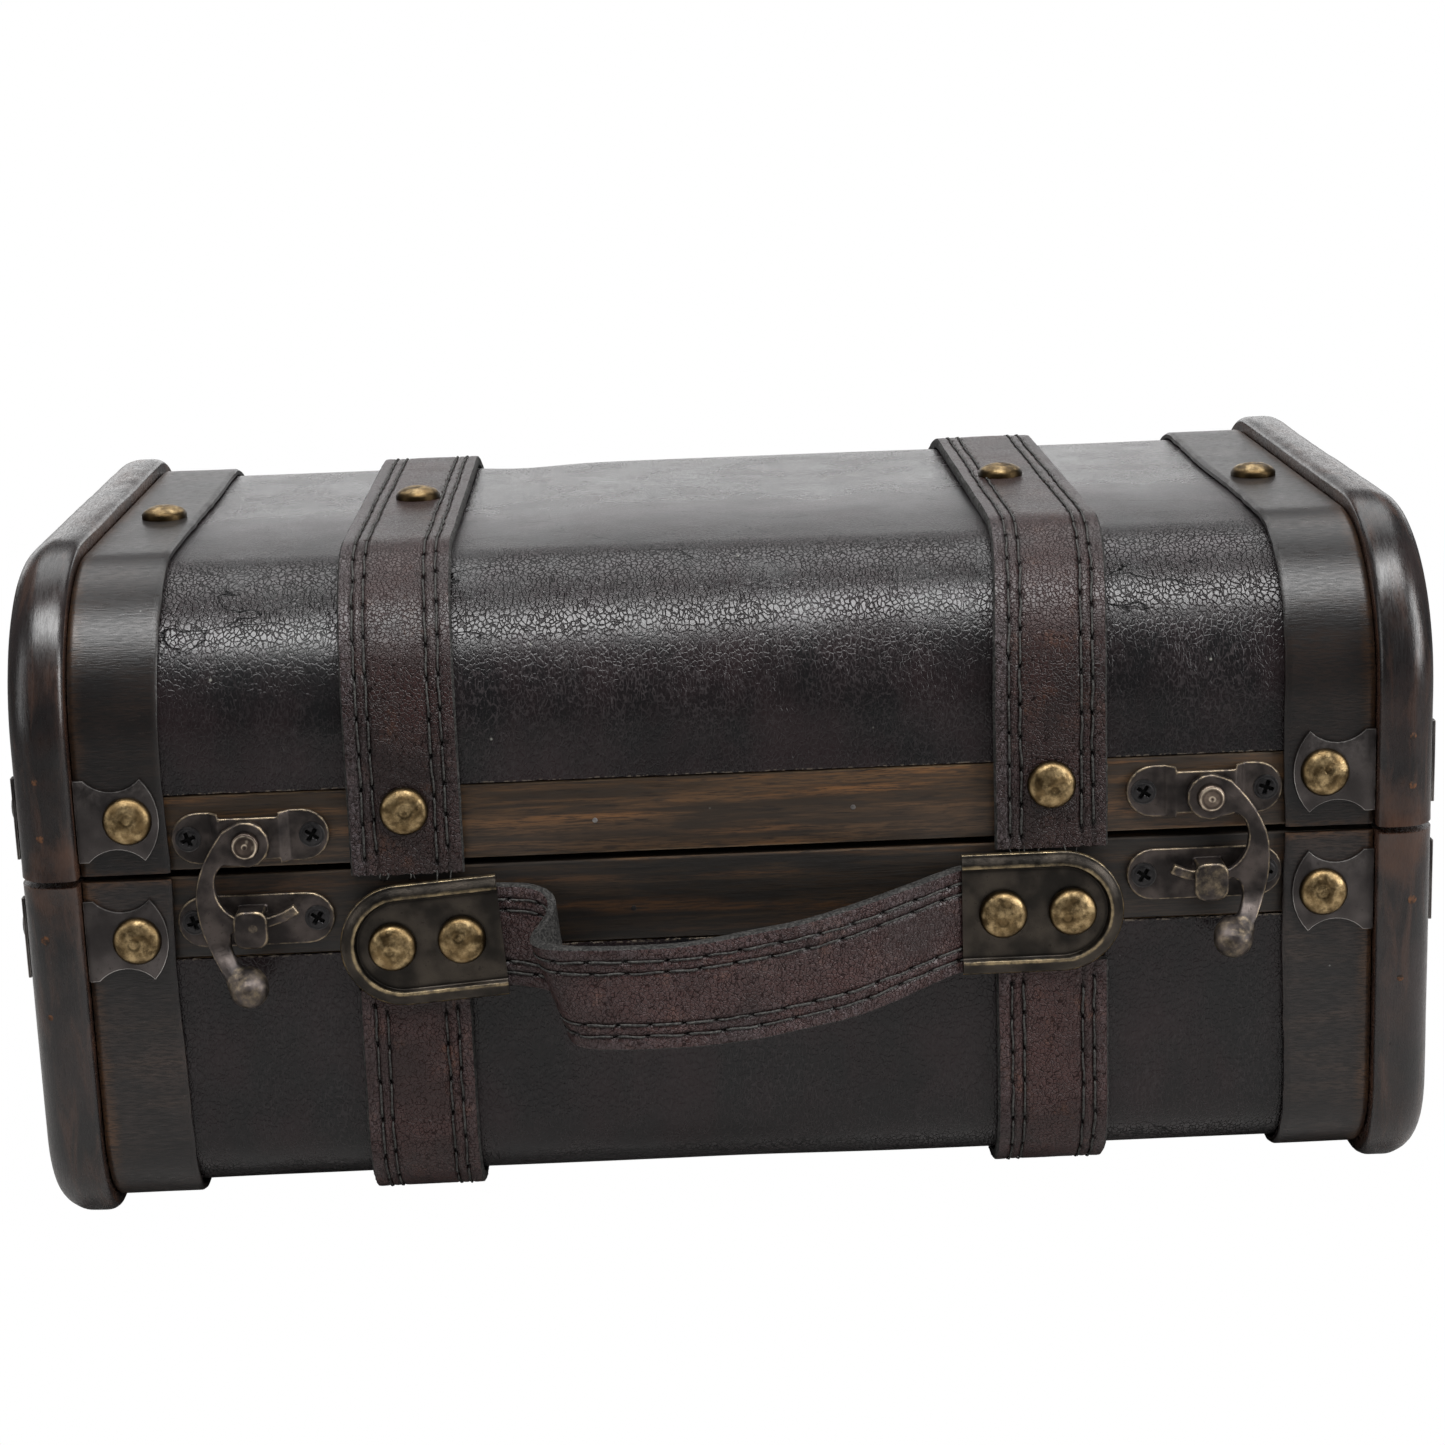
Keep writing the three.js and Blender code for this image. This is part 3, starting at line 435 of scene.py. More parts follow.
def skin_leather():
    """Pebbled and polished where it bends over the case, nearly plain on its upright front and back."""
    material, tree, shader, where = new_material("skin_leather", Specular_IOR_Level=0.45)
    polish = mark(tree, "polish")
    grain = place_group(tree, PEBBLE, vector=stretched(tree, where, (1.0, 0.85, 0.66)), cells=960.0)
    lines = times(tree, place_group(tree, CREASES, vector=where)["Mask"], polish)
    dust = place_group(tree, SPECKS, vector=where, scale=210.0, rarity=0.95)["Mask"]
    stain = spread(tree, grain["Mottle"], 0.3, 0.7)
    bulging = times(tree, spread(tree, mark(tree, "relief"), 0.34, 0.85), polish)
    cracks = times(tree, grain["Crease"], bulging)
    colour = blend_colour(tree, stain, (0.0054, 0.0052, 0.0056), (0.0130, 0.0082, 0.0090))
    # Painted highlight: the fine creases are drawn paler than the leather.
    colour = blend_colour(tree, hair_creases(tree, where), colour, (0.034, 0.029, 0.030))
    # The cracks and long creases are painted dark: partly the leather's own darker colour there and partly
    # painted shade, which the black metal further down deepens.
    colour = blend_colour(tree, cracks, colour, (0.004, 0.0035, 0.0035))
    colour = blend_colour(tree, lines, colour, (0.002, 0.002, 0.002))
    colour = blend_colour(tree, dust, colour, (0.16, 0.16, 0.14))
    flecks = spread(tree, noise_node(tree, where, 800.0, 3.0), 0.5, 0.58)
    frayed = times(tree, mark(tree, "rim"), flecks)
    colour = blend_colour(tree, frayed, colour, (0.11, 0.09, 0.07))
    smear = noise_node(tree, where, 60.0, 5.0, 0.65)
    rough = spread(tree, smear, 0.3, 0.75, 0.24, 0.29)
    rough = added(tree, rough, mark(tree, "dull"), 0.12)
    height = added(tree, grain["Height"], lines, -0.9)
    relief = times(tree, height, mark(tree, "relief"))
    gloss = spread(tree, polish, 0.0, 1.0, 0.3, 0.5)
    tree.links.new(gloss, shader.inputs["Specular IOR Level"])
    # Painted shade: the cracks and creases turn to black metal, which takes their gloss.
    paint_shade_in_hollows(tree, shader, maths(tree, "MAXIMUM", cracks, lines), full=1.0, share=0.84)
    feed(tree, shader, colour, rough, relief, strength=1.0, depth=0.1)
    return material


def painted_shade_and_light(tree, colour, share):
    """Painted shade: the colour made darker, or painted light where the share is over 1."""
    return blend_colour(tree, 1.0, colour, (share, share, share), "MULTIPLY")


def strap_leather(name, shade):
    """Burgundy leather with tan patches, rubbed pale along its stitched margins."""
    material, tree, shader, where = new_material(name, Specular_IOR_Level=0.42)
    grain = place_group(tree, PEBBLE, vector=where, cells=1150.0)
    fuzz = noise_node(tree, stretched(tree, where, (1.0, 0.6, 0.6)), 1300.0, 4.0, 0.7)
    patches = noise_node(tree, where, 110.0, 5.0, 0.65)
    stain = spread(tree, grain["Mottle"], 0.32, 0.68)
    colour = blend_colour(tree, stain, (0.0160, 0.0056, 0.0050), (0.040, 0.0145, 0.0128))
    tan = times(tree, spread(tree, patches, 0.54, 0.7, 0.0, 0.7), spread(tree, fuzz, 0.38, 0.6))
    colour = blend_colour(tree, tan, colour, (0.100, 0.036, 0.016))
    nap = spread(tree, fuzz, 0.36, 0.64)
    pale = blend_colour(tree, nap, (0.020, 0.0125, 0.0130), (0.110, 0.086, 0.092))
    worn = spread(tree, patches, 0.35, 0.6, 0.3, 1.0)
    margin_seen = times(tree, mark(tree, "margin"), spread(tree, fuzz, 0.35, 0.65, 0.3, 1.0))
    colour = blend_colour(tree, times(tree, margin_seen, worn), colour, pale)
    rub = spread(tree, noise_node(tree, where, 90.0, 5.0, 0.7), 0.55, 0.75, 0.0, 0.4)
    colour = blend_colour(tree, rub, colour, (0.068, 0.042, 0.040))
    # Painted shade where shade is under 1.
    colour = painted_shade_and_light(tree, colour, shade)
    # The grain's cracks are painted dark: partly their own darker colour and partly painted shade,
    # deepened by the black metal below.
    cracked = times(tree, grain["Crease"], 0.7)
    colour = blend_colour(tree, cracked, colour, (0.007, 0.005, 0.005))
    colour = blend_colour(tree, mark(tree, "pressed"), colour, (0.005, 0.0045, 0.0045))
    rough = spread(tree, fuzz, 0.25, 0.8, 0.28, 0.46)
    height = added(tree, grain["Height"], fuzz, 0.5)
    # Painted shade: black metal takes the gloss from the grain's cracks.
    paint_shade_in_hollows(tree, shader, grain["Crease"], full=0.9, share=0.71)
    feed(tree, shader, colour, rough, height, strength=0.9, depth=0.1)
    return material


def raw_edge():
    """The cut sides of the straps, with lint caught in their fibres."""
    material, tree, shader, where = new_material("strap_raw_edge", Specular_IOR_Level=0.3)
    fibre = noise_node(tree, where, 1500.0, 4.0, 0.75)
    layers = noise_node(tree, where, 500.0, 3.0)
    fluff = spread(tree, fibre, 0.4, 0.66)
    colour = blend_colour(tree, fluff, (0.0045, 0.0042, 0.0040), (0.048, 0.046, 0.043))
    dust = place_group(tree, SPECKS, vector=where, scale=900.0, rarity=0.78)["Mask"]
    colour = blend_colour(tree, dust, colour, (0.17, 0.17, 0.16))
    rough = spread(tree, layers, 0.3, 0.7, 0.6, 0.85)
    feed(tree, shader, colour, rough, fibre, strength=0.9, depth=0.3)
    return material


def stitch_thread():
    material, tree, shader, where = new_material("stitch_thread", Specular_IOR_Level=0.25)
    strand = noise_node(tree, where, 1700.0, 3.0, 0.7)
    twist = spread(tree, strand, 0.35, 0.7)
    colour = blend_colour(tree, twist, (0.011, 0.0105, 0.010), (0.074, 0.073, 0.068))
    dust = place_group(tree, SPECKS, vector=where, scale=700.0, rarity=0.86)["Mask"]
    colour = blend_colour(tree, dust, colour, (0.15, 0.16, 0.14))
    rough = spread(tree, strand, 0.3, 0.7, 0.6, 0.8)
    feed(tree, shader, colour, rough, strand, strength=0.8, depth=0.15)
    return material


def board_wood():
    """Dark glossy stain that has rubbed reddish brown where the board stands proud."""
    material, tree, shader, where = new_material("board_wood", Specular_IOR_Level=0.5)
    grain = place_group(tree, GRAIN, vector=where, stretch=(14.0, 2.2, 2.2))
    worn = place_group(tree, WEAR, vector=where, edge=mark(tree, "edge"), scale=85.0, amount=0.08)
    pits = place_group(tree, SPECKS, vector=where, scale=260.0, rarity=0.93)["Mask"]
    stain = spread(tree, grain["Blotch"], 0.34, 0.66)
    colour = blend_colour(tree, stain, (0.0060, 0.0050, 0.0050), (0.0170, 0.0112, 0.0106))
    streaks = spread(tree, grain["Streak"], 0.48, 0.7)
    fibres = spread(tree, grain["Fibre"], 0.54, 0.7, 0.0, 0.6)
    colour = blend_colour(tree, streaks, colour, (0.032, 0.0180, 0.0135))
    colour = blend_colour(tree, fibres, colour, (0.0042, 0.0035, 0.0035))
    colour = blend_colour(tree, worn["Mask"], colour, (0.050, 0.024, 0.0145))
    colour = blend_colour(tree, pits, colour, (0.003, 0.0025, 0.0025))
    rough = spread(tree, grain["Fibre"], 0.3, 0.75, 0.22, 0.36)
    height = added(tree, grain["Blotch"], grain["Fibre"], 0.5)
    height = added(tree, height, pits, -1.5)
    feed(tree, shader, colour, rough, height, strength=0.4, depth=0.25)
    return material


def band_wood(name, shade):
    """Thin dark strips whose grain runs across them."""
    material, tree, shader, where = new_material(name, Specular_IOR_Level=0.4)
    grain = place_group(tree, GRAIN, vector=where, stretch=(1.5, 9.0, 9.0))
    fine = noise_node(tree, stretched(tree, where, (2.2, 14.0, 14.0)), 170.0, 3.0, 0.6)
    worn = place_group(tree, WEAR, vector=where, edge=mark(tree, "edge"), scale=60.0, amount=0.12)
    dust = place_group(tree, SPECKS, vector=where, scale=300.0, rarity=0.95)["Mask"]
    clouds = spread(tree, grain["Blotch"], 0.36, 0.64)
    streaks = spread(tree, grain["Streak"], 0.46, 0.7, 0.0, 0.6)
    rubbed = times(tree, worn["Mask"], 0.85)
    dark_lines = spread(tree, fine, 0.46, 0.6, 0.0, 0.75)
    pale_lines = spread(tree, fine, 0.28, 0.4, 0.35, 0.0)
    colour = blend_colour(tree, clouds, (0.0088, 0.0074, 0.0072), (0.0205, 0.0145, 0.0125))
    colour = blend_colour(tree, streaks, colour, (0.028, 0.0185, 0.0140))
    colour = blend_colour(tree, rubbed, colour, (0.064, 0.031, 0.0140))
    colour = blend_colour(tree, dark_lines, colour, (0.0040, 0.0034, 0.0032))
    colour = blend_colour(tree, pale_lines, colour, (0.050, 0.040, 0.034))
    # Painted shade where shade is under 1 and painted light where it is over 1.
    colour = painted_shade_and_light(tree, colour, shade)
    colour = blend_colour(tree, dust, colour, (0.10, 0.10, 0.095))
    rough = spread(tree, fine, 0.3, 0.7, 0.27, 0.4)
    feed(tree, shader, colour, rough, fine, strength=0.55, depth=0.1)
    return material


def rail_wood(name, deep, warm, bright):
    """Stained rails whose long streaks go from a deep colour over a warm one to a bright one."""
    material, tree, shader, where = new_material(name, Specular_IOR_Level=0.4)
    grain = place_group(tree, GRAIN, vector=where, stretch=(1.1, 17.0, 17.0))
    pores = noise_node(tree, stretched(tree, where, (0.35, 6.0, 6.0)), 420.0, 3.0, 0.6)
    dust = place_group(tree, SPECKS, vector=where, scale=240.0, rarity=0.95)["Mask"]
    clouds = noise_node(tree, stretched(tree, where, (0.4, 7.0, 7.0)), 34.0, 3.0, 0.5)
    colour = blend_colour(tree, spread(tree, grain["Streak"], 0.38, 0.62), deep, warm)
    colour = blend_colour(tree, spread(tree, clouds, 0.36, 0.56, 0.55, 0.0), colour, deep)
    colour = blend_colour(tree, spread(tree, clouds, 0.52, 0.68, 0.0, 0.65), colour, bright)
    colour = blend_colour(tree, spread(tree, grain["Fibre"], 0.44, 0.62, 0.0, 0.8), colour, deep)
    pores_seen = spread(tree, pores, 0.56, 0.68, 0.0, 0.8)
    colour = blend_colour(tree, pores_seen, colour, (0.0055, 0.0040, 0.0030))
    colour = blend_colour(tree, dust, colour, (0.10, 0.095, 0.085))
    rough = spread(tree, grain["Fibre"], 0.3, 0.75, 0.38, 0.55)
    feed(tree, shader, colour, rough, pores, strength=0.45, depth=0.12)
    return material


def plywood():
    material, tree, shader, where = new_material("plywood", Specular_IOR_Level=0.3)
    grain = place_group(tree, GRAIN, vector=where, stretch=(0.4, 5.0, 5.0))
    colour = blend_colour(tree, grain["Streak"], (0.16, 0.095, 0.045), (0.30, 0.20, 0.11))
    rough = spread(tree, grain["Fibre"], 0.3, 0.7, 0.55, 0.75)
    feed(tree, shader, colour, rough, grain["Fibre"], strength=0.3, depth=0.15)
    return material


def lining_cloth():
    """Short napped cloth."""
    constants = {"Specular_IOR_Level": 0.2, "Sheen_Weight": 0.15}
    material, tree, shader, where = new_material("lining_cloth", **constants)
    nap = noise_node(tree, where, 1400.0, 3.0, 0.7)
    drift = noise_node(tree, where, 25.0, 4.0, 0.6)
    colour = blend_colour(tree, drift, (0.024, 0.006, 0.008), (0.055, 0.014, 0.017))
    rough = spread(tree, nap, 0.3, 0.7, 0.75, 0.95)
    feed(tree, shader, colour, rough, nap, strength=0.6, depth=0.2)
    return material


def antique_metal(name, dark, mid, bright, amount, rough, scale=260.0):
    """Patinated metal: bright where it is rubbed, dark in its hollows, with fine dark spots."""
    material, tree, shader, where = new_material(name, Metallic=1.0)
    worn = place_group(tree, WEAR, vector=where, edge=mark(tree, "edge"), scale=scale, amount=amount)
    spots = noise_node(tree, where, scale * 3.2, 5.0, 0.7)
    colour = blend_colour(tree, spread(tree, worn["Grime"], 0.35, 0.7), dark, mid)
    colour = blend_colour(tree, worn["Mask"], colour, bright)
    colour = blend_colour(tree, spread(tree, spots, 0.56, 0.72, 0.0, 0.75), colour, dark)
    deepest = tuple(part * 0.35 for part in dark)
    colour = blend_colour(tree, mark(tree, "hollow"), colour, deepest)
    roughness = spread(tree, spots, 0.3, 0.7, *rough)
    feed(tree, shader, colour, roughness, spots, strength=0.5, depth=0.1)
    return material


def black_screw():
    material, tree, shader, where = new_material("black_screw", Metallic=0.9)
    spots = noise_node(tree, where, 900.0, 4.0, 0.7)
    colour = blend_colour(tree, spots, (0.014, 0.0135, 0.014), (0.052, 0.050, 0.051))
    worn = place_group(tree, WEAR, vector=where, edge=mark(tree, "edge"), scale=380.0, amount=0.05)
    colour = blend_colour(tree, worn["Mask"], colour, (0.20, 0.19, 0.18))
    colour = blend_colour(tree, mark(tree, "hollow"), colour, (0.003, 0.003, 0.003))
    rough = spread(tree, spots, 0.3, 0.7, 0.3, 0.5)
    feed(tree, shader, colour, rough, spots, strength=0.3, depth=0.06)
    return material


def rust_mark():
    material, tree, shader, where = new_material("rust_mark", Specular_IOR_Level=0.3)
    spots = noise_node(tree, where, 900.0, 4.0, 0.7)
    rust = spread(tree, spots, 0.4, 0.62)
    colour = blend_colour(tree, rust, (0.010, 0.006, 0.004), (0.115, 0.048, 0.020))
    rough = spread(tree, spots, 0.3, 0.7, 0.55, 0.8)
    feed(tree, shader, colour, rough, spots, strength=0.4, depth=0.1)
    return material


finish = {
    "skin": skin_leather(),
    # The lid's strap is painted darker than the base's strap of the same leather: painted shade.
    "lid_strap": strap_leather("lid_strap_leather", 0.55),
    "base_strap": strap_leather("base_strap_leather", 1.0),
    "strap_edge": raw_edge(),
    "thread": stitch_thread(),
    "board": board_wood(),
    # The lid's band is painted darker and the base's band lighter than the same wood: painted shade on the
    # lid and painted light on the base.
    "lid_band": band_wood("lid_band_wood", 0.62),
    "base_band": band_wood("base_band_wood", 1.15),
    "lid_rail": rail_wood(
        "lid_rail_wood",
        deep=(0.019, 0.012, 0.007),
        warm=(0.072, 0.038, 0.017),
        bright=(0.165, 0.074, 0.025),
    ),
    "base_rail": rail_wood(
        "base_rail_wood",
        deep=(0.0070, 0.0055, 0.0044),
        warm=(0.027, 0.0165, 0.0095),
        bright=(0.062, 0.029, 0.012),
    ),
    "lid_rail_edge": rail_wood(
        "lid_rail_edge",
        deep=(0.040, 0.027, 0.017),
        warm=(0.120, 0.080, 0.046),
        bright=(0.230, 0.140, 0.070),
    ),
    "base_rail_edge": rail_wood(
        "base_rail_edge",
        deep=(0.016, 0.012, 0.009),
        warm=(0.055, 0.036, 0.022),
        bright=(0.110, 0.062, 0.030),
    ),
    "plywood": plywood(),
    "lining": lining_cloth(),
    "brass": antique_metal(
        "stud_brass",
        dark=(0.066, 0.044, 0.021),
        mid=(0.20, 0.134, 0.062),
        bright=(0.45, 0.33, 0.172),
        amount=0.06,
        rough=(0.32, 0.52),
        scale=680.0,
    ),
    "bronze": antique_metal(
        "bronze",
        dark=(0.034, 0.030, 0.029),
        mid=(0.104, 0.087, 0.080),
        bright=(0.40, 0.315, 0.205),
        amount=0.06,
        rough=(0.38, 0.56),
        scale=420.0,
    ),
    "plate": antique_metal(
        "plate_bronze",
        dark=(0.025, 0.0225, 0.020),
        mid=(0.072, 0.061, 0.050),
        bright=(0.40, 0.31, 0.18),
        amount=0.04,
        rough=(0.32, 0.5),
        scale=330.0,
    ),
    "pivot": antique_metal(
        "pivot_bronze",
        dark=(0.070, 0.054, 0.046),
        mid=(0.220, 0.170, 0.135),
        bright=(0.66, 0.56, 0.43),
        amount=0.2,
        rough=(0.35, 0.52),
        scale=420.0,
    ),
    "bronze_edge": antique_metal(
        "bronze_edge",
        dark=(0.22, 0.18, 0.13),
        mid=(0.52, 0.43, 0.31),
        bright=(0.85, 0.72, 0.52),
        amount=0.5,
        rough=(0.4, 0.55),
    ),
    "tin": antique_metal(
        "dark_tin",
        dark=(0.050, 0.045, 0.044),
        mid=(0.110, 0.098, 0.094),
        bright=(0.20, 0.18, 0.17),
        amount=0.0,
        rough=(0.42, 0.6),
    ),
    "tin_edge": antique_metal(
        "dark_tin_edge",
        dark=(0.16, 0.15, 0.145),
        mid=(0.45, 0.43, 0.41),
        bright=(0.8, 0.78, 0.75),
        amount=0.5,
        rough=(0.3, 0.45),
    ),
    "screw": black_screw(),
    "rust": rust_mark(),
}


# Meshes
WELD = 0.002


def patch(bm, across, along, place, material=None):
    """A flat grid, each corner then moved to place(i, j), where i and j count its lines."""
    corners = bmesh.ops.create_grid(bm, x_segments=across, y_segments=along, size=0.5)["verts"]
    lines = {}
    for vert in corners:
        lines[vert] = (round((vert.co.x + 0.5) * across), round((vert.co.y + 0.5) * along))
    if material:
        for face in {face for vert in corners for face in vert.link_faces}:
            face.material_index = material(min(lines[vert][0] for vert in face.verts))
    for vert, spot in lines.items():
        vert.co = place(*spot)
    return lines


def mark_layers(bm, *names):
    """The named marks of a mesh's vertices, for its materials to read; missing ones are made."""
    layers = bm.verts.layers.float
    return {name: layers.get(name) or layers.new(name) for name in names}


def close(bm):
    """Welds the seams and closes what is open with flat ends."""
    bmesh.ops.remove_doubles(bm, verts=bm.verts, dist=WELD)
    rims = [edge for edge in bm.edges if edge.is_boundary]
    bmesh.ops.holes_fill(bm, edges=rims, sides=0)


def face_out(bm):
    """Turns a thin open sheet so that it faces away from the middle of the case."""
    heart = Vector((0, MIDDLE_Y, SEAM_HEIGHT))
    facing = sum((face.calc_center_median() - heart).dot(face.normal) for face in bm.faces)
    if facing < 0:
        bmesh.ops.reverse_faces(bm, faces=bm.faces)


def make_piece(name, bm, body, finishes, replaced=(), crease=38, open_sheet=False):
    """Finishes a mesh drawn in millimetres as a piece of the case that moves with its body.

    Edges that turn by more degrees than crease are shown sharp.
    """
    bmesh.ops.remove_doubles(bm, verts=bm.verts, dist=WELD)
    bm.normal_update()
    if open_sheet:
        face_out(bm)
    else:
        bmesh.ops.recalc_face_normals(bm, faces=bm.faces)
    limit = math.radians(crease)
    for face in bm.faces:
        face.smooth = True
    for edge in bm.edges:
        edge.smooth = edge.is_manifold and edge.calc_face_angle(0) < limit
    bmesh.ops.scale(bm, vec=(MM, MM, MM), verts=bm.verts)
    mesh = bpy.data.meshes.new(name)
    bm.to_mesh(mesh)
    bm.free()
    for key in finishes:
        mesh.materials.append(finish[key])
    made = bpy.data.objects.new(name, mesh)
    bpy.context.scene.collection.objects.link(made)
    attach(made, body)
    if replaced:
        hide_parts(*replaced)
    return made


def mesh_mm(mesh):
    """A copy of a mesh that is in metres, in millimetres."""
    bm = bmesh.new()
    bm.from_mesh(mesh)
    bmesh.ops.scale(bm, vec=(1 / MM, 1 / MM, 1 / MM), verts=bm.verts)
    return bm


def copy_of(name):
    """A CAD solid's shape in millimetres, with its loose triangles joined into whole faces."""
    bm = mesh_mm(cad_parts[name].data)
    bmesh.ops.remove_doubles(bm, verts=bm.verts, dist=0.01)
    limit = math.radians(1)
    bmesh.ops.dissolve_limit(bm, angle_limit=limit, verts=bm.verts, edges=bm.edges)
    return bm


CAST_CELL = 0.25


def unbent(spot):
    """The shift of a solid that is already flat."""
    return Vector((0, 0, 0))


def softened_copy(name, rounds, shift=unbent, swells=()):
    """A CAD solid made again of small even faces with its corners softened, in millimetres.

    shift(spot) is how far each spot was bent out of a flat blank; the blank is what is made again.
    Each swell, a centre, a radius and a depth, is a lump that is cast in one with it.
    """
    bm = mesh_mm(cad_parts[name].data)
    for vert in bm.verts:
        vert.co -= shift(vert.co)
    for centre, radius, depth in swells:
        lump = Matrix.Translation(centre) @ Matrix.Diagonal((radius, depth, radius, 1.0))
        bmesh.ops.create_icosphere(bm, subdivisions=4, radius=1.0, matrix=lump)
    bmesh.ops.scale(bm, vec=(MM, MM, MM), verts=bm.verts)
    rough = bpy.data.meshes.new(f"{name}_rough")
    bm.to_mesh(rough)
    bm.free()
    carrier = bpy.data.objects.new(f"{name}_rough", rough)
    bpy.context.scene.collection.objects.link(carrier)
    cells = carrier.modifiers.new("cells", "REMESH")
    cells.mode = "VOXEL"
    cells.voxel_size = CAST_CELL * MM
    soft = carrier.modifiers.new("soft", "SMOOTH")
    soft.factor = 0.5
    soft.iterations = rounds
    shown = carrier.evaluated_get(bpy.context.evaluated_depsgraph_get())
    bm = mesh_mm(shown.to_mesh())
    shown.to_mesh_clear()
    bpy.data.objects.remove(carrier)
    bpy.data.meshes.remove(rough)
    for vert in bm.verts:
        vert.co += shift(vert.co)
    return bm


# How sharp a bend starts to show as rubbed or grimy and where it shows in full
BEND_LOW = 0.015
BEND_HIGH = 0.08
BEND_ROUNDS = 2


def mark_bends(bm):
    """Marks ridges as edges and creases as hollows."""
    bm.normal_update()
    layers = mark_layers(bm, "edge", "hollow")
    bends = {}
    for vert in bm.verts:
        steps = [edge.other_vert(vert).co - vert.co for edge in vert.link_edges]
        falls = [step.dot(vert.normal) / max(step.length, 1e-6) for step in steps]
        bends[vert] = -sum(falls) / max(1, len(falls))
    for _ in range(BEND_ROUNDS):
        around = {}
        for vert in bm.verts:
            near = [bends[edge.other_vert(vert)] for edge in vert.link_edges]
            around[vert] = (bends[vert] + sum(near)) / (1 + len(near))
        bends = around
    for vert, bend in bends.items():
        vert[layers["edge"]] = smooth(bend, BEND_LOW, BEND_HIGH)
        vert[layers["hollow"]] = 0.6 * smooth(-bend, BEND_LOW, BEND_HIGH)


def ease_edges(bm, width, least_angle=40, material=-1, marked=True):
    """Rounds the edges that turn by more degrees than least_angle, and marks them as edges."""
    limit = math.radians(least_angle)
    sharp = [edge for edge in bm.edges if edge.is_manifold and edge.calc_face_angle(0) > limit]
    layers = mark_layers(bm, "edge")
    made = bmesh.ops.bevel(
        bm,
        geom=sharp,
        offset=width,
        offset_type="OFFSET",
        affect="EDGES",
        segments=2,
        profile=0.5,
        material=material,
        clamp_overlap=True,
    )
    if marked:
        for vert in made["verts"]:
            vert[layers["edge"]] = 1.0


# Leather skins
SKIN_CELL = 1.8
SKIN_THICKNESS = 1.2
SKIN_SUNK = 0.15
SKIN_RIM = 0.35


def skin_wave(wrap, x, s):
    """How far the skin stands out of its shell's true round: it lies a little slack on it.

    It bulges low over the front corner on the left and high on the right, sags towards the flat
    top, and from there on has a shallow dip left of the middle.
    """
    share = (s - wrap.rise) / wrap.arc
    low_bulge = 0.7 * smooth(x, 0.0, -50.0) * bump(share - 0.08, 0.26)
    high_bulge = 0.6 * smooth(x, -10.0, 40.0) * bump(share - 0.62, 0.24)
    sag = 0.8 * bump(share - 0.7, 0.42)
    dip = 0.9 * bump(x + 50.0, 14.0) * smooth(share, 0.8, 1.6)
    slack = 0.22 * wander(x, s, 3.1, 70.0) + 0.07 * wander(x, s, 8.4, 24.0)
    return low_bulge + high_bulge - dip - sag - SKIN_SUNK - slack


def mark_skin(half, wrap, s, layers, vert):
    """Marks how pebbled, polished, dull and creased the skin is at a distance along its wrap."""
    flat_start = wrap.rise + wrap.arc
    on_top = smooth(s, flat_start - 0.3 * wrap.arc, flat_start + 40.0)
    on_top *= smooth(s, flat_start + wrap.flat + 6.0, flat_start + wrap.flat)
    from_rim = min(s, wrap.length - s)
    upright = smooth(from_rim, wrap.rise + 0.44 * wrap.arc, wrap.rise + 0.24 * wrap.arc)
    dulled = smooth(s, flat_start - 16.0, flat_start + 1.0)
    vert[layers["polish"]] = 1.0 - upright
    vert[layers["dull"]] = dulled * smooth(s, flat_start + 66.0, flat_start + 4.0)
    vert[layers["relief"]] = 1.0 - 0.66 * on_top - 0.5 * upright
    vert[layers["rim"]] = 1.0 if from_rim < SKIN_RIM else 0.0
    # How strong the painted highlights on the fine creases are: most on the lid's front below its bend.
    vert[layers["hairs"]] = 0.35 + 0.65 * smooth(s, 3.0, 26.0) if half == "lid" else 0.35


def make_skin(half):
    """The leather over one half: an open sheet along its wrap, frayed a little at both rims."""
    name = f"{half}_leather"
    low, high = box_mm(name)
    front_z = low.z if half == "lid" else high.z
    wrap = Wrap(half, depth_of(name, half), front_z, front_z)
    across = round((high.x - low.x) / SKIN_CELL)
    along = round(wrap.length / SKIN_CELL)

    def place(i, j):
        x = low.x + (high.x - low.x) * i / across
        s = wrap.length * j / along
        if j == 1:
            s = SKIN_RIM
        elif j == along - 1:
            s = wrap.length - SKIN_RIM
        at_edge = smooth(min(s, wrap.length - s), 0.0, 6.0)
        fray = (1 - at_edge) * 0.3 * wander(x, s, 5.0, 2.5)
        s_frayed = min(wrap.length, max(0.0, s + abs(fray)))
        return wrap.at(x, s_frayed, skin_wave(wrap, x, s) * at_edge)

    bm = bmesh.new()
    layers = mark_layers(bm, "relief", "rim", "hairs", "polish", "dull")
    for vert, (i, j) in patch(bm, across, along, place).items():
        mark_skin(half, wrap, wrap.length * j / along, layers, vert)
    skin = make_piece(f"{half}_skin", bm, half, ["skin"], [name], open_sheet=True)
    thick = skin.modifiers.new("thickness", "SOLIDIFY")
    thick.thickness = SKIN_THICKNESS * MM
    thick.offset = -1


# Strips that wrap a half: the wooden bands and the leather straps
def strip_section(width, thickness, cell, ease):
    """Points round a strip's end: along its top from one side to the other, then its underside."""
    count = round(width / cell)
    points = [(-width / 2, 0.0)]
    for step in range(count + 1):
        x = width * (step / count - 0.5)
        inside = min(ease, width / 2 - abs(x))
        drop = ease - math.sqrt(max(0.0, ease**2 - (ease - inside) ** 2))
        points.append((x, thickness - drop))
    points.append((width / 2, 0.0))
    points.append((-width / 2, 0.0))
    return points


BAND_THICKNESS = 1.5
BAND_CELL = 0.8
BAND_ROW = 2.0
BAND_EASE = 0.5
BAND_WANDER = 0.8
BAND_SEED = {"left": 2.0, "right": 6.0}


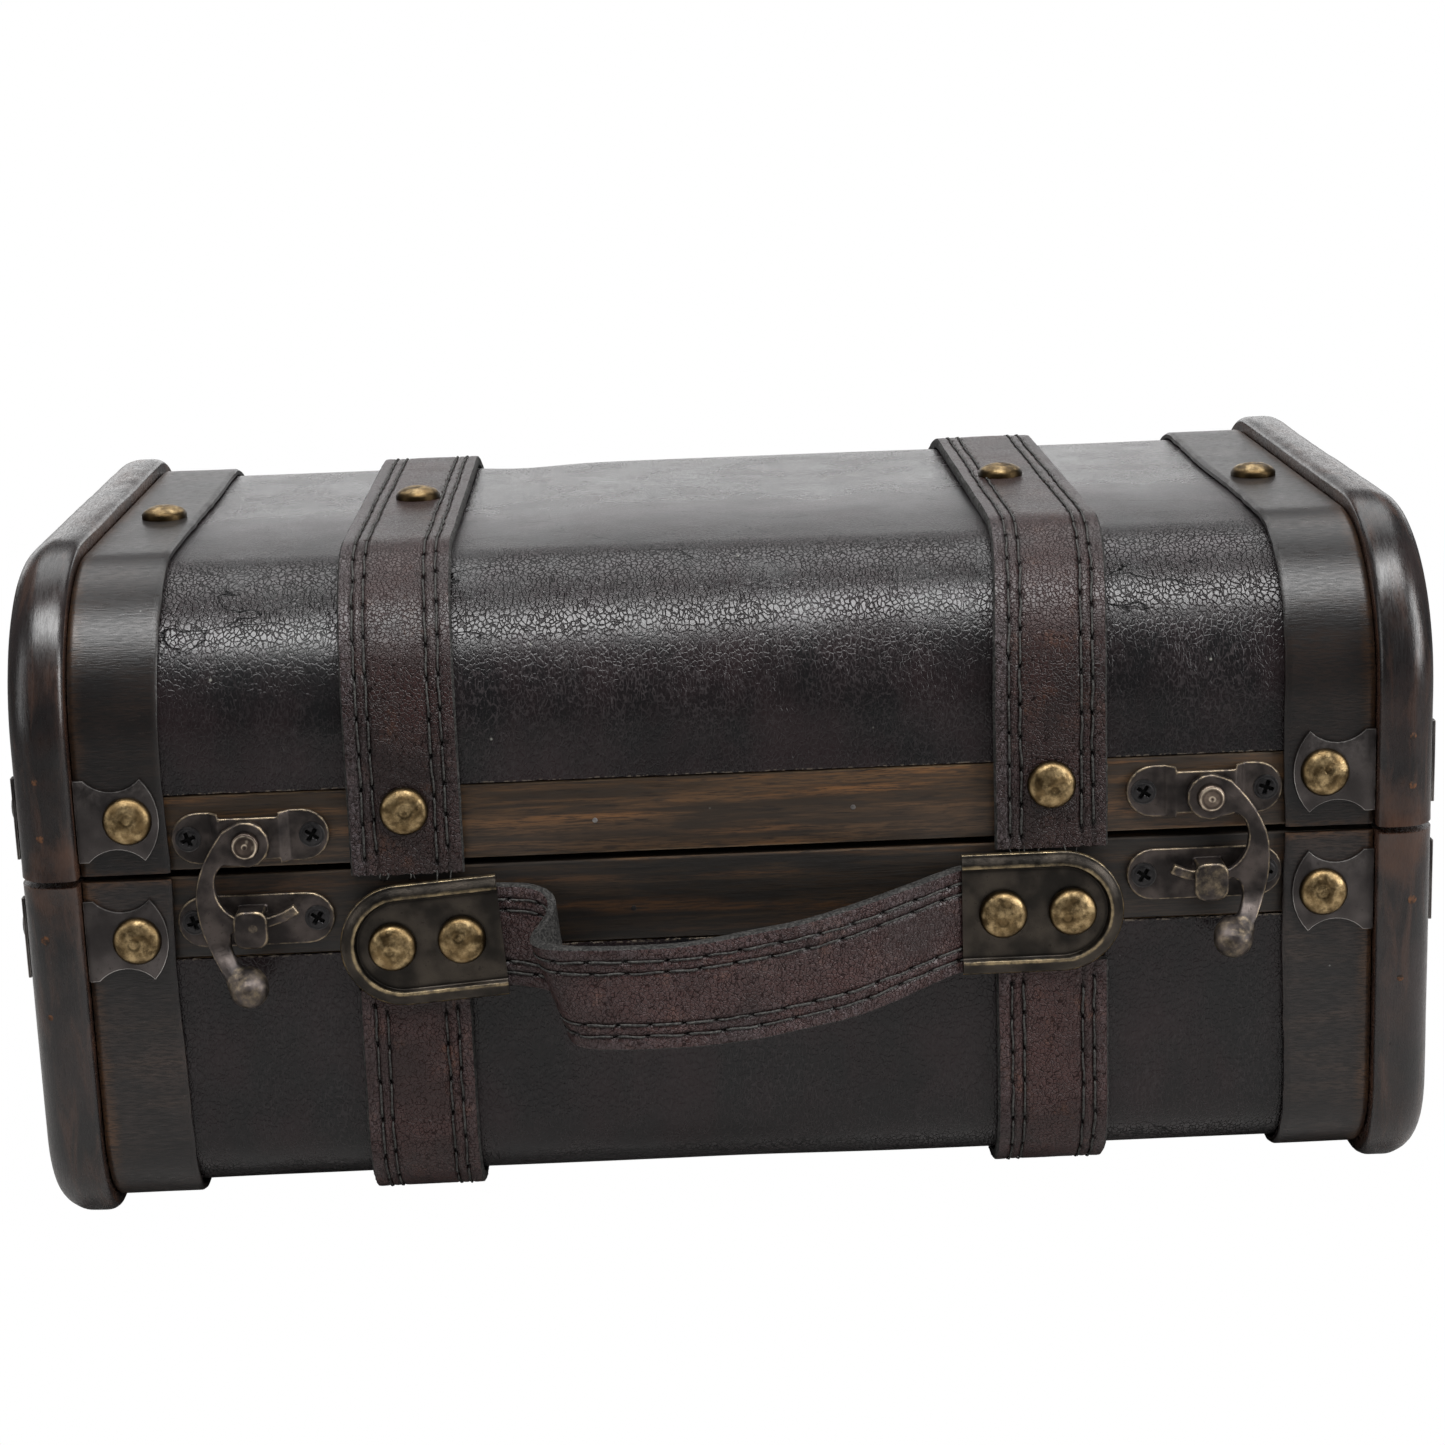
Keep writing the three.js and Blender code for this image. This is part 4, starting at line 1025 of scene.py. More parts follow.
def make_band(half, side):
    """A thin wooden strip over the skin's end, with its inner edge cut a little unevenly."""
    name = f"{half}_band_{side}"
    low, high = box_mm(name)
    width = high.x - low.x
    wrap = Wrap(half, depth_of(name, half) + BAND_THICKNESS, SEAM[half], SEAM[half])
    points = strip_section(width, BAND_THICKNESS, BAND_CELL, BAND_EASE)
    along = round(wrap.length / BAND_ROW)
    centre = (low.x + high.x) / 2
    inward = -SIDES[side]
    seed = BAND_SEED[side]
    bm = bmesh.new()
    layers = mark_layers(bm, "edge")

    def place(i, j):
        x, h = points[i]
        s = wrap.length * j / along
        inner_share = smooth(x * inward, 0.0, width / 2)
        drift = BAND_WANDER * wander(0.0, s, seed, 45.0) + 0.25 * wander(0.0, s, seed + 1, 6.0)
        lift = 0.08 * wander(x, s, seed, 12.0) if 0 < h else 0.0
        return wrap.at(centre + x + drift * inner_share, s, h + lift)

    lines = patch(bm, len(points) - 1, along, place)
    for vert, (i, j) in lines.items():
        x, h = points[i]
        s = wrap.length * j / along
        reach = 8.0 if x * inward < 0 else 2.0
        at_side = smooth(abs(x), width / 2 - reach, width / 2)
        at_seam = smooth(min(s, wrap.length - s), 4.0, 0.0) if h > 0 else 0.0
        vert[layers["edge"]] = max(at_side if x * inward < 0 else 0.4 * at_side, at_seam)
    close(bm)
    make_piece(f"{half}_wood_band_{side}", bm, half, [f"{half}_band"], [name])


# Stitched leather
STITCH_PITCH = 8.2
STITCH_LINES = (3.3, 5.9)
THREAD_RADIUS = 0.27
THREAD_DIVE = 0.75
THREAD_STEPS = 8
THREAD_SIDES = 5
FIRST_HOLE = 2.5
LAST_HOLE = 1.5
GROOVE_REACH = 1.6


def stitch_holes(length, seed):
    """Where the needle went through along one line of stitches."""
    chance = random.Random(seed)
    holes = []
    s = FIRST_HOLE + chance.uniform(0, 4)
    while s < length - LAST_HOLE:
        holes.append(s)
        s += STITCH_PITCH * chance.uniform(0.86, 1.14)
    return holes


def stitch_rows(width, length, seed):
    """Each line of stitches: how far across the strap it lies, and its holes."""
    rows = []
    for side in (-1, 1):
        for number, inset in enumerate(STITCH_LINES):
            across = side * (width / 2 - inset)
            rows.append((across, stitch_holes(length, seed + 10 * number + 3 * side)))
    return rows


def row_drift(across, s, seed):
    return 0.3 * wander(across * 9, s, seed, 22.0)


def pressed_at(rows, x, s, seed):
    """How much of a stitching groove and how much of a needle hole there is at a point, each 0 to 1."""
    groove = 0.0
    hole = 0.0
    for across, holes in rows:
        aside = x - across - row_drift(across, s, seed)
        if abs(aside) > GROOVE_REACH:
            continue
        groove = max(groove, bump(aside, 0.48))
        nearest = min(abs(s - spot) for spot in holes)
        hole = max(hole, bump(aside, 0.5) * bump(nearest, 0.6))
    return groove, hole


def margin_share(x, width):
    """1 outside the stitches, less between their two lines and 0 inside them."""
    outer, inner = (width / 2 - inset for inset in STITCH_LINES)
    between = smooth(abs(x), inner - 0.8, inner + 0.6)
    outside = smooth(abs(x), outer - 0.4, outer + 0.6)
    return 0.35 * between + 0.65 * outside


def raw_sides(points):
    """Which finish each strip of faces across a strap gets: 1, its raw edge, at both sides."""
    return lambda i: 1 if i < 2 or i > len(points) - 5 else 0


def mark_stitching(vert, layers, groove, hole, paleness):
    vert[layers["pressed"]] = min(1.0, 0.3 * groove + hole)
    vert[layers["margin"]] = paleness


def add_threads(bm, rows, surface, seed):
    """Short lengths of thread that lie in the groove and dive into the holes at both ends."""
    chance = random.Random(seed + 77)
    for across, holes in rows:
        for first, second in zip(holes, holes[1:]):
            sway = chance.uniform(-0.18, 0.18)
            radius = THREAD_RADIUS * chance.uniform(0.85, 1.1)

            def place(i, j, first=first, second=second, sway=sway, radius=radius, across=across):
                share = j / THREAD_STEPS
                s = first + (second - first) * share
                arch = math.sin(math.pi * share)
                size = radius * (1 if 0 < j < THREAD_STEPS else 0)
                turn = 2 * math.pi * (i % THREAD_SIDES) / THREAD_SIDES
                lift = -THREAD_DIVE + THREAD_DIVE * min(1.0, 2.6 * arch)
                x = across + row_drift(across, s, seed) + sway * math.sin(2 * math.pi * share)
                return surface(x + size * math.cos(turn), s, lift + size * math.sin(turn))

            patch(bm, THREAD_SIDES, THREAD_STEPS, place)


STRAP_THICKNESS = 2.4
STRAP_CELL = 0.42
STRAP_ROW = 0.8
STRAP_EASE = 0.7
STRAP_SEED = {"lid": 20, "base": 40}

# How far a lid strap runs outwards over the front corner
STRAP_SKEW = {"left": 1.0, "right": 3.0}

# The height at which a base strap starts, under its handle plate
HANDLE_STRAP_START = 57.7


def make_strap(half, side):
    """A leather strap round one half, with its stitching grooves pressed in and its threads."""
    name = f"{half}_strap_{side}"
    low, high = box_mm(name)
    width = high.x - low.x
    sign = SIDES[side]
    front_z = low.z if half == "lid" else HANDLE_STRAP_START
    wrap = Wrap(half, depth_of(name, half) + STRAP_THICKNESS, front_z, SEAM[half])
    seed = STRAP_SEED[half] + sign
    rows = stitch_rows(width, wrap.length, seed)
    points = strip_section(width, STRAP_THICKNESS, STRAP_CELL, STRAP_EASE)
    along = round(wrap.length / STRAP_ROW)
    centre = (low.x + high.x) / 2
    skew = STRAP_SKEW[side] if half == "lid" else 0.0

    def surface(x, s, h):
        """A point on the strap, with its top at h = 0 and what stands out of it above."""
        slide = sign * skew * smooth(s, wrap.rise, wrap.rise + wrap.arc)
        slide *= 1 - smooth(s, wrap.length - wrap.fall - wrap.arc, wrap.length - wrap.fall)
        puff = 0.12 * wander(x, s, seed, 9.0)
        return wrap.at(centre + x + slide, s, STRAP_THICKNESS + puff + h)

    bm = bmesh.new()
    layers = mark_layers(bm, "pressed", "margin")

    def place(i, j):
        x, h = points[i]
        s = wrap.length * j / along
        if half == "lid":
            s += smooth(s, 2.0, 0.0) * abs(wander(x, 0.0, seed, 1.1))
        if h <= 0:
            return surface(x, s, -STRAP_THICKNESS)
        at_side = smooth(abs(x), width / 2 - 1.2, width / 2)
        ragged = at_side * 0.22 * wander(x, s, seed, 1.6)
        ragged += 0.3 * wander(math.copysign(9, x), s, seed, 14.0) * at_side
        if at_side < 1:
            groove, hole = pressed_at(rows, x, s, seed)
            h -= 0.38 * groove + 0.7 * hole
            h += 0.05 * wander(x, s, seed, 1.1)
        return surface(x + math.copysign(ragged, x), s, h - STRAP_THICKNESS)

    lines = patch(bm, len(points) - 1, along, place, raw_sides(points))
    for vert, (i, j) in lines.items():
        x, h = points[i]
        if h > 0:
            groove, hole = pressed_at(rows, x, wrap.length * j / along, seed)
            paleness = 1.0 if half == "lid" and x < 0 else 0.35
            mark_stitching(vert, layers, groove, hole, paleness * margin_share(x, width))
    close(bm)
    finishes = [f"{half}_strap", "strap_edge"]
    make_piece(f"{half}_leather_strap_{side}", bm, half, finishes, [name])
    bm = bmesh.new()
    add_threads(bm, rows, surface, seed)
    make_piece(f"{half}_strap_thread_{side}", bm, half, ["thread"], crease=180)


# End boards
BOARD_THICKNESS = 13.5
BOARD_INNER_EASE = 3.0
BOARD_OUTER_EASE = 8.0
BOARD_CORNER_EASE = 0.35
BOARD_SHOULDER = 1.6
TONGUE_DEPTH = 12.5
BOARD_FACE = CASE_HALF - BOARD_THICKNESS
BOARD_SEAM_STEPS = 40
BOARD_SEED = {"lid": 1.0, "base": 5.0}

# How many rows of faces lie in each run of a board's way round: front, bend, far face, bend, rear
BOARD_COUNTS = {"lid": (14, 22, 40, 22, 14), "base": (24, 14, 46, 14, 24)}


def quarter_turns(count):
    return [math.pi / 2 * step / count for step in range(1, count + 1)]


def board_profile():
    """Steps through the board's edge: how far from its inner face, and how deep under its crest."""
    steps = [(box_mm("base_end_board_right")[0].x - BOARD_FACE, TONGUE_DEPTH)]
    steps += [(0.0, TONGUE_DEPTH), (0.0, 4.5), (0.0, 3.0), (0.0, BOARD_SHOULDER)]
    for turn in quarter_turns(8):
        steps.append((BOARD_INNER_EASE * (1 - math.cos(turn)), BOARD_SHOULDER * (1 - math.sin(turn))))
    start = BOARD_THICKNESS - BOARD_OUTER_EASE
    steps.append(((BOARD_INNER_EASE + start) / 2, 0.0))
    steps.append((start, 0.0))
    for turn in quarter_turns(14):
        steps.append((start + BOARD_OUTER_EASE * math.sin(turn), BOARD_OUTER_EASE * (1 - math.cos(turn))))
    return steps


def board_dent(x, s, seed):
    """How far the worn surface of a board stands out of its true shape."""
    return 0.22 * wander(x * 4, s, seed, 26.0) + 0.1 * wander(x * 2, s, seed + 3, 7.0) - 0.2


def make_board(half, side):
    name = f"{half}_end_board_{side}"
    sign = SIDES[side]
    profile = board_profile()
    wraps = [Wrap(half, depth, SEAM[half], SEAM[half]) for _, depth in profile]
    stations = [wrap.stations(BOARD_COUNTS[half]) for wrap in wraps]
    around = len(stations[0]) - 1 + BOARD_SEAM_STEPS
    seed = BOARD_SEED[half] + sign
    bm = bmesh.new()
    layers = mark_layers(bm, "edge")

    def place(i, j):
        x, depth = profile[j]
        wrap = wraps[j]
        ring = stations[j]
        if i < len(ring):
            s = ring[i]
            dent = 0.0
            if depth < BOARD_SHOULDER + 6 and 0 < i < len(ring) - 1:
                dent = board_dent(x, s, seed)
            return wrap.at(sign * (BOARD_FACE + x), s, dent)
        share = (i - len(ring) + 1) / BOARD_SEAM_STEPS
        rear = wrap.at(sign * (BOARD_FACE + x), wrap.length)
        front = wrap.at(sign * (BOARD_FACE + x), 0.0)
        return rear.lerp(front, share)

    lines = patch(bm, around, len(profile) - 1, place)
    for vert, (i, j) in lines.items():
        x, depth = profile[j]
        near_seam = smooth(abs(vert.co.z - SEAM_HEIGHT), 16.0, 0.0)
        at_crest = smooth(depth, 3.0, 0.0)
        inner = 1.0 if x <= 0 and depth < 6 else 0.0
        vert[layers["edge"]] = min(1.0, 0.55 * at_crest + 0.75 * near_seam + 0.8 * inner)
    close(bm)
    ease_edges(bm, BOARD_CORNER_EASE, least_angle=55)
    make_piece(f"{half}_board_{side}", bm, half, ["board"], [name])


# Round heads, such as tacks, rivets and screws
def front_frame(x, z, y):
    """Local X and Y lie along the case and up it, and local Z stands out of its front."""
    turn = Matrix(((1, 0, 0), (0, 0, -1), (0, 1, 0))).to_4x4()
    return Matrix.Translation((x, y, z)) @ turn


def rear_frame(x, z, y):
    """The same for what stands out of the rear."""
    turn = Matrix(((-1, 0, 0), (0, 0, 1), (0, 1, 0))).to_4x4()
    return Matrix.Translation((x, y, z)) @ turn


HEAD_SUNK = 0.6


def head(bm, frame_at, radius, height_at, spokes, rings, marks=None):
    """A round head standing on its frame, with a skirt sunk below it.

    height_at(a, b, share) and marks(a, b, share) give its height and how rubbed and how dark it
    is at a point a and b from its middle, where share goes from 0 there to 1 at its rim.
    """
    layers = mark_layers(bm, "edge", "hollow")

    def local(i, j):
        turn = 2 * math.pi * (i % spokes) / spokes
        share = 1 - max(0, j - 1) / rings
        return radius * share * math.cos(turn), radius * share * math.sin(turn), share

    def place(i, j):
        a, b, share = local(i, j)
        h = -HEAD_SUNK if j == 0 else height_at(a, b, share)
        return frame_at @ Vector((a, b, h))

    lines = patch(bm, spokes, rings + 1, place)
    if marks:
        for vert, spot in lines.items():
            vert[layers["edge"]], vert[layers["hollow"]] = marks(*local(*spot))


TACK_HEIGHT = 2.8

# Each tack and rivet by its solid's name: the body it rides on, for those in front, and its seed
FRONT_TACKS = {
    "lid_corner_stud_{}": ("lid", 1),
    "base_corner_stud_{}": ("base", 11),
    "strap_front_stud_{}": ("lid", 21),
    "handle_rivet_{}_outer": ("base", 31),
    "handle_rivet_{}_inner": ("base", 41),
}
TOP_TACKS = {"strap_top_stud_{}": 51, "band_top_stud_{}": 52}


def make_tack(node_name, frame_at, body, radius, seed):
    """A dome tack whose stamped top has an off-centre dent, a rubbed crown and a foot painted dark as its
    contact shadow.
    """
    chance = random.Random(seed)
    dent_a = chance.uniform(-0.3, 0.1) * radius
    dent_b = chance.uniform(-0.2, 0.25) * radius
    dent_size = chance.uniform(0.16, 0.3) * radius

    def height_at(a, b, share):
        dome = TACK_HEIGHT * math.sqrt(max(0.0, 1 - (0.985 * share) ** 2)) ** 0.9
        away = math.hypot(a - dent_a, b - dent_b)
        ring = -0.16 * bump(away - dent_size, 0.3) - 0.16 * bump(away, dent_size * 0.6)
        knocks = 0.09 * wander(a, b, seed, 1.1) + 0.06 * wander(a, b, seed + 2, 0.6)
        return max(0.05, dome + ring + knocks * smooth(share, 1.0, 0.9))

    def marks(a, b, share):
        away = math.hypot(a - dent_a, b - dent_b)
        # The foot is painted dark as the tack's contact shadow, and the dent's ring is darker on one side.
        ring = bump(away - dent_size, 0.3) * smooth(b - dent_b, 0.5 * dent_size, -0.3 * dent_size)
        foot_shadow = smooth(share, 0.86, 0.99)
        crown = 0.8 - 0.6 * foot_shadow + 0.5 * wander(a, b, seed, 2.2)
        return max(0.0, crown), min(1.0, 0.7 * ring + 0.9 * foot_shadow)

    bm = bmesh.new()
    head(bm, frame_at, radius, height_at, 56, 20, marks)
    close(bm)
    make_piece(f"{node_name}_dome", bm, body, ["brass"], [node_name], crease=60)


def make_tacks(side):
    """Dome tacks and rivets stand where their solids are."""
    for pattern, (body, seed) in FRONT_TACKS.items():
        node_name = pattern.format(side)
        low, high = box_mm(node_name)
        middle = (low + high) / 2
        frame_at = front_frame(middle.x, middle.z, low.y + TACK_HEIGHT)
        make_tack(node_name, frame_at, body, (high.z - low.z) / 2, seed + SIDES[side])
    for pattern, seed in TOP_TACKS.items():
        node_name = pattern.format(side)
        low, high = box_mm(node_name)
        middle = (low + high) / 2
        frame_at = Matrix.Translation((middle.x, middle.y, high.z - TACK_HEIGHT))
        make_tack(node_name, frame_at, "lid", (high.y - low.y) / 2, seed + SIDES[side])


PIVOT_RISE = 1.4


def make_pivot(side):
    """The pivot's head: nearly flat, with a raised ring round it and a punched middle."""
    name = f"latch_pivot_{side}"
    low, high = box_mm(name)
    middle = (low + high) / 2
    radius = (high.z - low.z) / 2
    seed = SIDE_SEED[side]

    def height_at(a, b, share):
        crown = PIVOT_RISE * (1 - 0.22 * share**2) * smooth(share, 1.06, 0.9)
        ring = 0.1 * bump((share - 0.76) * radius, 0.22)
        dot = -0.22 * bump(share * radius, 0.3)
        return crown + ring + dot + 0.04 * wander(a, b, seed, 0.9)

    def marks(a, b, share):
        ring = 0.6 * bump((share - 0.8) * radius, 0.2) + 0.5 * bump(share * radius - 0.6, 0.2)
        ring += 0.35 + 0.5 * wander(a, b, seed, 1.4)
        groove = 0.6 * bump((share - 0.62) * radius, 0.2) + bump(share * radius, 0.22)
        return min(1.0, max(0.0, ring)), min(1.0, groove + 0.8 * smooth(share, 0.9, 1.0))

    bm = bmesh.new()
    frame_at = front_frame(middle.x, middle.z, low.y + PIVOT_RISE)
    head(bm, frame_at, radius, height_at, 48, 22, marks)
    close(bm)
    make_piece(f"{name}_head", bm, "lid", ["pivot"], [name], crease=60)


# Handle
HANDLE_PLATE_OUTER = 19.7
HANDLE_PLATE_INNER = 17.1
HANDLE_PLATE_HALF = 14.2
CREST_INSET = 3.0
CREST_DROP = 0.8
BEAD_START = 0.75
PLATE_STRAIGHT_STEPS = 16
PLATE_ROUND_STEPS = 40


def plate_frame(side):
    """A handle plate's frame at the middle of its rivets.

    X runs outwards along the plate, Y up it and Z out of the case.
    """
    sign = SIDES[side]
    outer = middle_mm(f"handle_rivet_{side}_outer")
    inner = middle_mm(f"handle_rivet_{side}_inner")
    tilt = math.atan2(inner.z - outer.z, abs(inner.x - outer.x))
    along = Vector((sign * math.cos(tilt), 0, -math.sin(tilt)))
    up = Vector((sign * math.sin(tilt), 0, math.cos(tilt)))
    out = Vector((0, -1, 0))
    turn = Matrix((along, up, out)).transposed().to_4x4()
    middle = (outer + inner) / 2
    back = box_mm(f"handle_plate_{side}")[1].y
    return Matrix.Translation((middle.x, back, middle.z)) @ turn


def plate_outline():
    """Round a handle plate: a place along its middle line, then how far up and out its edge lies."""
    centre = HANDLE_PLATE_OUTER - HANDLE_PLATE_HALF
    run = HANDLE_PLATE_INNER + centre
    outline = [(-HANDLE_PLATE_INNER, 1.0, 0.0)]
    for step in range(PLATE_STRAIGHT_STEPS):
        outline.append((centre - run * (1 - step / PLATE_STRAIGHT_STEPS), 1.0, 0.0))
    for step in range(PLATE_ROUND_STEPS):
        turn = math.pi * step / PLATE_ROUND_STEPS
        outline.append((centre, math.cos(turn), math.sin(turn)))
    for step in range(PLATE_STRAIGHT_STEPS + 1):
        outline.append((centre - run * step / PLATE_STRAIGHT_STEPS, -1.0, 0.0))
    outline.append((-HANDLE_PLATE_INNER, -1.0, 0.0))
    return outline


def plate_insets():
    """Steps inwards from a handle plate's edge, closest over its bead."""
    bead_end = CREST_INSET + CREST_DROP + 0.2
    insets = [0.0, 0.0, 0.08, 0.25, 0.5]
    insets += [BEAD_START + (bead_end - BEAD_START) * step / 22 for step in range(23)]
    return insets + [4.6, 5.2, 6.0, 7.0, 8.5, 10.0, 12.0, HANDLE_PLATE_HALF]


def make_handle_plate(side):
    """A pressing with a bead that rises inwards from its edge to a crest and drops to a flat field."""
    frame_at = plate_frame(side)
    outline = plate_outline()
    insets = plate_insets()

    def height_at(inset, a, b):
        if inset <= 0:
            return 0.85
        rim = 1.0 - 0.3 * (1 - smooth(inset, 0.0, 0.3))
        climbed = min(1.0, max(0.0, inset - 0.45) / (CREST_INSET - 0.45))
        roll = 1.1 * math.sin(math.pi / 2 * climbed) ** 1.2
        drop = -1.35 * smooth(inset, CREST_INSET + 0.1, CREST_INSET + CREST_DROP)
        return rim + roll + drop + 0.05 * wander(a, b, 4.0, 7.0)

    def local(i, j):
        a, up_share, out_share = outline[i]
        inset = insets[j]
        reach = HANDLE_PLATE_HALF - inset
        x = a + reach * out_share
        y = reach * up_share
        at_end = i in (0, len(outline) - 1)
        h = 0.0 if j == 0 or at_end else height_at(inset, x, y)
        return x, y, h

    def place(i, j):
        return frame_at @ Vector(local(i, j))

    bm = bmesh.new()
    layers = mark_layers(bm, "edge", "hollow")
    lines = patch(bm, len(outline) - 1, len(insets) - 1, place)
    for vert, (i, j) in lines.items():
        inset = insets[j]
        x, y, _ = local(i, j)
        rim = smooth(inset, 0.5, 0.1)
        crest = bump(inset - CREST_INSET + 0.15, 0.75)
        smear = 0.5 * bump(y - 1.0, 3.6) * bump(x - 0.5, 8.0)
        vert[layers["edge"]] = min(1.0, rim + crest + smear)
        vert[layers["hollow"]] = 0.85 * bump(inset - CREST_INSET - CREST_DROP - 0.3, 0.35)
    close(bm)
    name = f"handle_plate_pressing_{side}"
    make_piece(name, bm, "base", ["plate"], [f"handle_plate_{side}"], crease=50)


# Route of the handle: a place on its upper edge and one on its lower, each as X, Y and Z in millimetres
HANDLE_ROUTE = [
    ((-80.0, -86.29, 80.6), (-80.0, -86.29, 57.4)),
    ((-60.0, -86.29, 81.3), (-60.0, -86.29, 57.4)),
    ((-52.4, -86.4, 81.4), (-52.4, -86.4, 57.3)),
    ((-45.5, -87.2, 81.0), (-46.5, -86.9, 56.8)),
    ((-41.6, -88.9, 79.6), (-41.0, -88.2, 55.6)),
    ((-40.6, -92.0, 77.6), (-37.6, -91.0, 53.4)),
    ((-42.0, -95.5, 75.6), (-36.8, -95.0, 51.2)),
    ((-44.6, -99.6, 73.4), (-36.9, -99.4, 49.6)),
    ((-43.8, -103.4, 72.6), (-36.0, -103.4, 48.9)),
    ((-38.8, -106.6, 72.4), (-32.6, -106.8, 48.5)),
    ((-27.0, -108.8, 72.5), (-23.5, -108.8, 48.6)),
    ((-11.0, -109.0, 72.8), (-9.5, -109.0, 48.8)),
    ((4.0, -107.2, 74.4), (4.5, -107.1, 49.3)),
    ((15.6, -104.3, 75.4), (15.2, -104.3, 50.3)),
    ((27.2, -100.2, 77.2), (26.7, -100.3, 51.2)),
    ((39.0, -94.6, 79.2), (36.6, -95.8, 53.2)),
    ((46.5, -89.9, 80.2), (44.6, -90.9, 54.8)),
    ((52.6, -86.5, 80.9), (51.8, -86.7, 55.8)),
    ((60.0, -86.29, 81.2), (60.0, -86.29, 56.6)),
    ((80.0, -86.29, 81.6), (80.0, -86.29, 57.6)),
]
HANDLE_THICKNESS = 2.2
HANDLE_WIDTH = 24.0
HANDLE_ROW = 0.75
HANDLE_STATIONS = 260
HANDLE_SEED = 60
CURVE_STEPS = 12


def curve_through(points, count):
    """Evenly spaced places on a smooth curve through the points, and the curve's length."""
    fine = []
    for number in range(len(points) - 1):
        before = points[max(0, number - 1)]
        start, end = points[number], points[number + 1]
        after = points[min(len(points) - 1, number + 2)]
        for step in range(CURVE_STEPS):
            share = step / CURVE_STEPS
            slope = (end - before) * share
            bend = (2 * before - 5 * start + 4 * end - after) * share * share
            twist = (3 * start - before - 3 * end + after) * share**3
            fine.append(0.5 * (2 * start + slope + bend + twist))
    fine.append(points[-1])
    run = [0.0]
    for first, second in zip(fine, fine[1:]):
        run.append(run[-1] + (second - first).length)
    found = []
    spot = 0
    for step in range(count + 1):
        aim = run[-1] * step / count
        while spot < len(run) - 2 and run[spot + 1] < aim:
            spot += 1
        share = (aim - run[spot]) / max(1e-6, run[spot + 1] - run[spot])
        found.append(fine[spot].lerp(fine[spot + 1], share))
    return found, run[-1]


def make_handle():
    """A folded strap held under both handle plates."""
    along = HANDLE_STATIONS
    upper, upper_length = curve_through([Vector(pair[0]) for pair in HANDLE_ROUTE], along)
    lower, lower_length = curve_through([Vector(pair[1]) for pair in HANDLE_ROUTE], along)
    length = (upper_length + lower_length) / 2
    seed = HANDLE_SEED
    rows = stitch_rows(HANDLE_WIDTH, length, seed)
    points = strip_section(HANDLE_WIDTH, HANDLE_THICKNESS, STRAP_CELL, STRAP_EASE)

    def surface(x, s, h):
        """A point on the handle: x up its width, s along it, h out of its outer face."""
        place_on = min(max(s / length, 0.0), 1.0) * along
        first = min(along - 1, int(place_on))
        share = place_on - first
        top = upper[first].lerp(upper[first + 1], share)
        bottom = lower[first].lerp(lower[first + 1], share)
        step = 3
        ahead = min(along, first + step)
        behind = max(0, first - step)
        run = (upper[ahead] + lower[ahead]) - (upper[behind] + lower[behind])
        rise = top - bottom
        out = run.cross(rise).normalized()
        up_share = 0.5 + x / HANDLE_WIDTH
        return bottom.lerp(top, up_share) + out * h

    bm = bmesh.new()
    layers = mark_layers(bm, "pressed", "margin")
    steps = round(length / HANDLE_ROW)
    half = HANDLE_THICKNESS / 2

    def place(i, j):
        x, h = points[i]
        s = length * j / steps
        if h <= 0:
            return surface(x, s, -half)
        at_side = smooth(abs(x), HANDLE_WIDTH / 2 - 1.0, HANDLE_WIDTH / 2)
        ragged = 0.2 * wander(x, s, seed + 1, 1.6) + 0.25 * wander(math.copysign(9, x), s, seed + 1, 12.0)
        groove, hole = pressed_at(rows, x, s, seed)
        h -= 0.34 * groove + 0.6 * hole
        h += 0.06 * wander(x, s, seed, 1.3) + 0.12 * wander(x, s, seed, 8.0)
        return surface(x + math.copysign(at_side * ragged, x), s, h - half)

    lines = patch(bm, len(points) - 1, steps, place, raw_sides(points))
    for vert, (i, j) in lines.items():
        x, h = points[i]
        if h > 0:
            groove, hole = pressed_at(rows, x, length * j / steps, seed)
            paleness = 0.25 + 0.3 * margin_share(x, HANDLE_WIDTH)
            mark_stitching(vert, layers, groove, hole, paleness)
    close(bm)
    finishes = ["base_strap", "strap_edge"]
    make_piece("handle_leather", bm, "base", finishes, ["handle_strap"])
    bm = bmesh.new()
    add_threads(bm, rows, lambda x, s, h: surface(x, s, h + half), seed)
    make_piece("handle_thread", bm, "base", ["thread"], crease=180)


# Fittings whose solids already have the right shape
def refine(name, body, key, edge_key, ease):
    """A CAD solid with its edges eased and given a finish of their own."""
    bm = copy_of(name)
    ease_edges(bm, ease, material=1, marked=False)
    make_piece(f"{name}_finished", bm, body, [key, edge_key], [name])


# Each hook was bent out of a flat blank below its tongue, and hangs leaning in a little
HOOK_LEAN = {"left": 0.13, "right": 0.02}
HOOK_BEND_FROM = 21.1
HOOK_BEND_TO = 32.4
HOOK_BEND = 5.6
HOOK_THICKNESS = 2.2
HOOK_ROUNDS = 10
KNOB_RADIUS = 3.9
KNOB_ASIDE = 4.9
TIP_ASIDE = -7.8
TIP_BELOW = 16.9
KNOB_WEAR = 8.5
TIP_WEAR = 7.0


def near_brass(spot, places):
    """How much of its patina a cast piece has lost at a spot.

    places are its much-handled places, each with a radius.
    """
    lost = (smooth((spot - place).length, radius, 0.6 * radius) for place, radius in places)
    return max(lost, default=0.0)


def make_cast(name, bm, body, places):
    """A fitting that is dark on its flats and rubbed to brass on its ridges and in its handled places."""
    mark_bends(bm)
    edge = mark_layers(bm, "edge")["edge"]
    for vert in bm.verts:
        vert[edge] = max(0.85 * vert[edge], 0.68 * near_brass(vert.co, places))
    make_piece(f"{name}_cast", bm, body, ["bronze"], [name], crease=70)


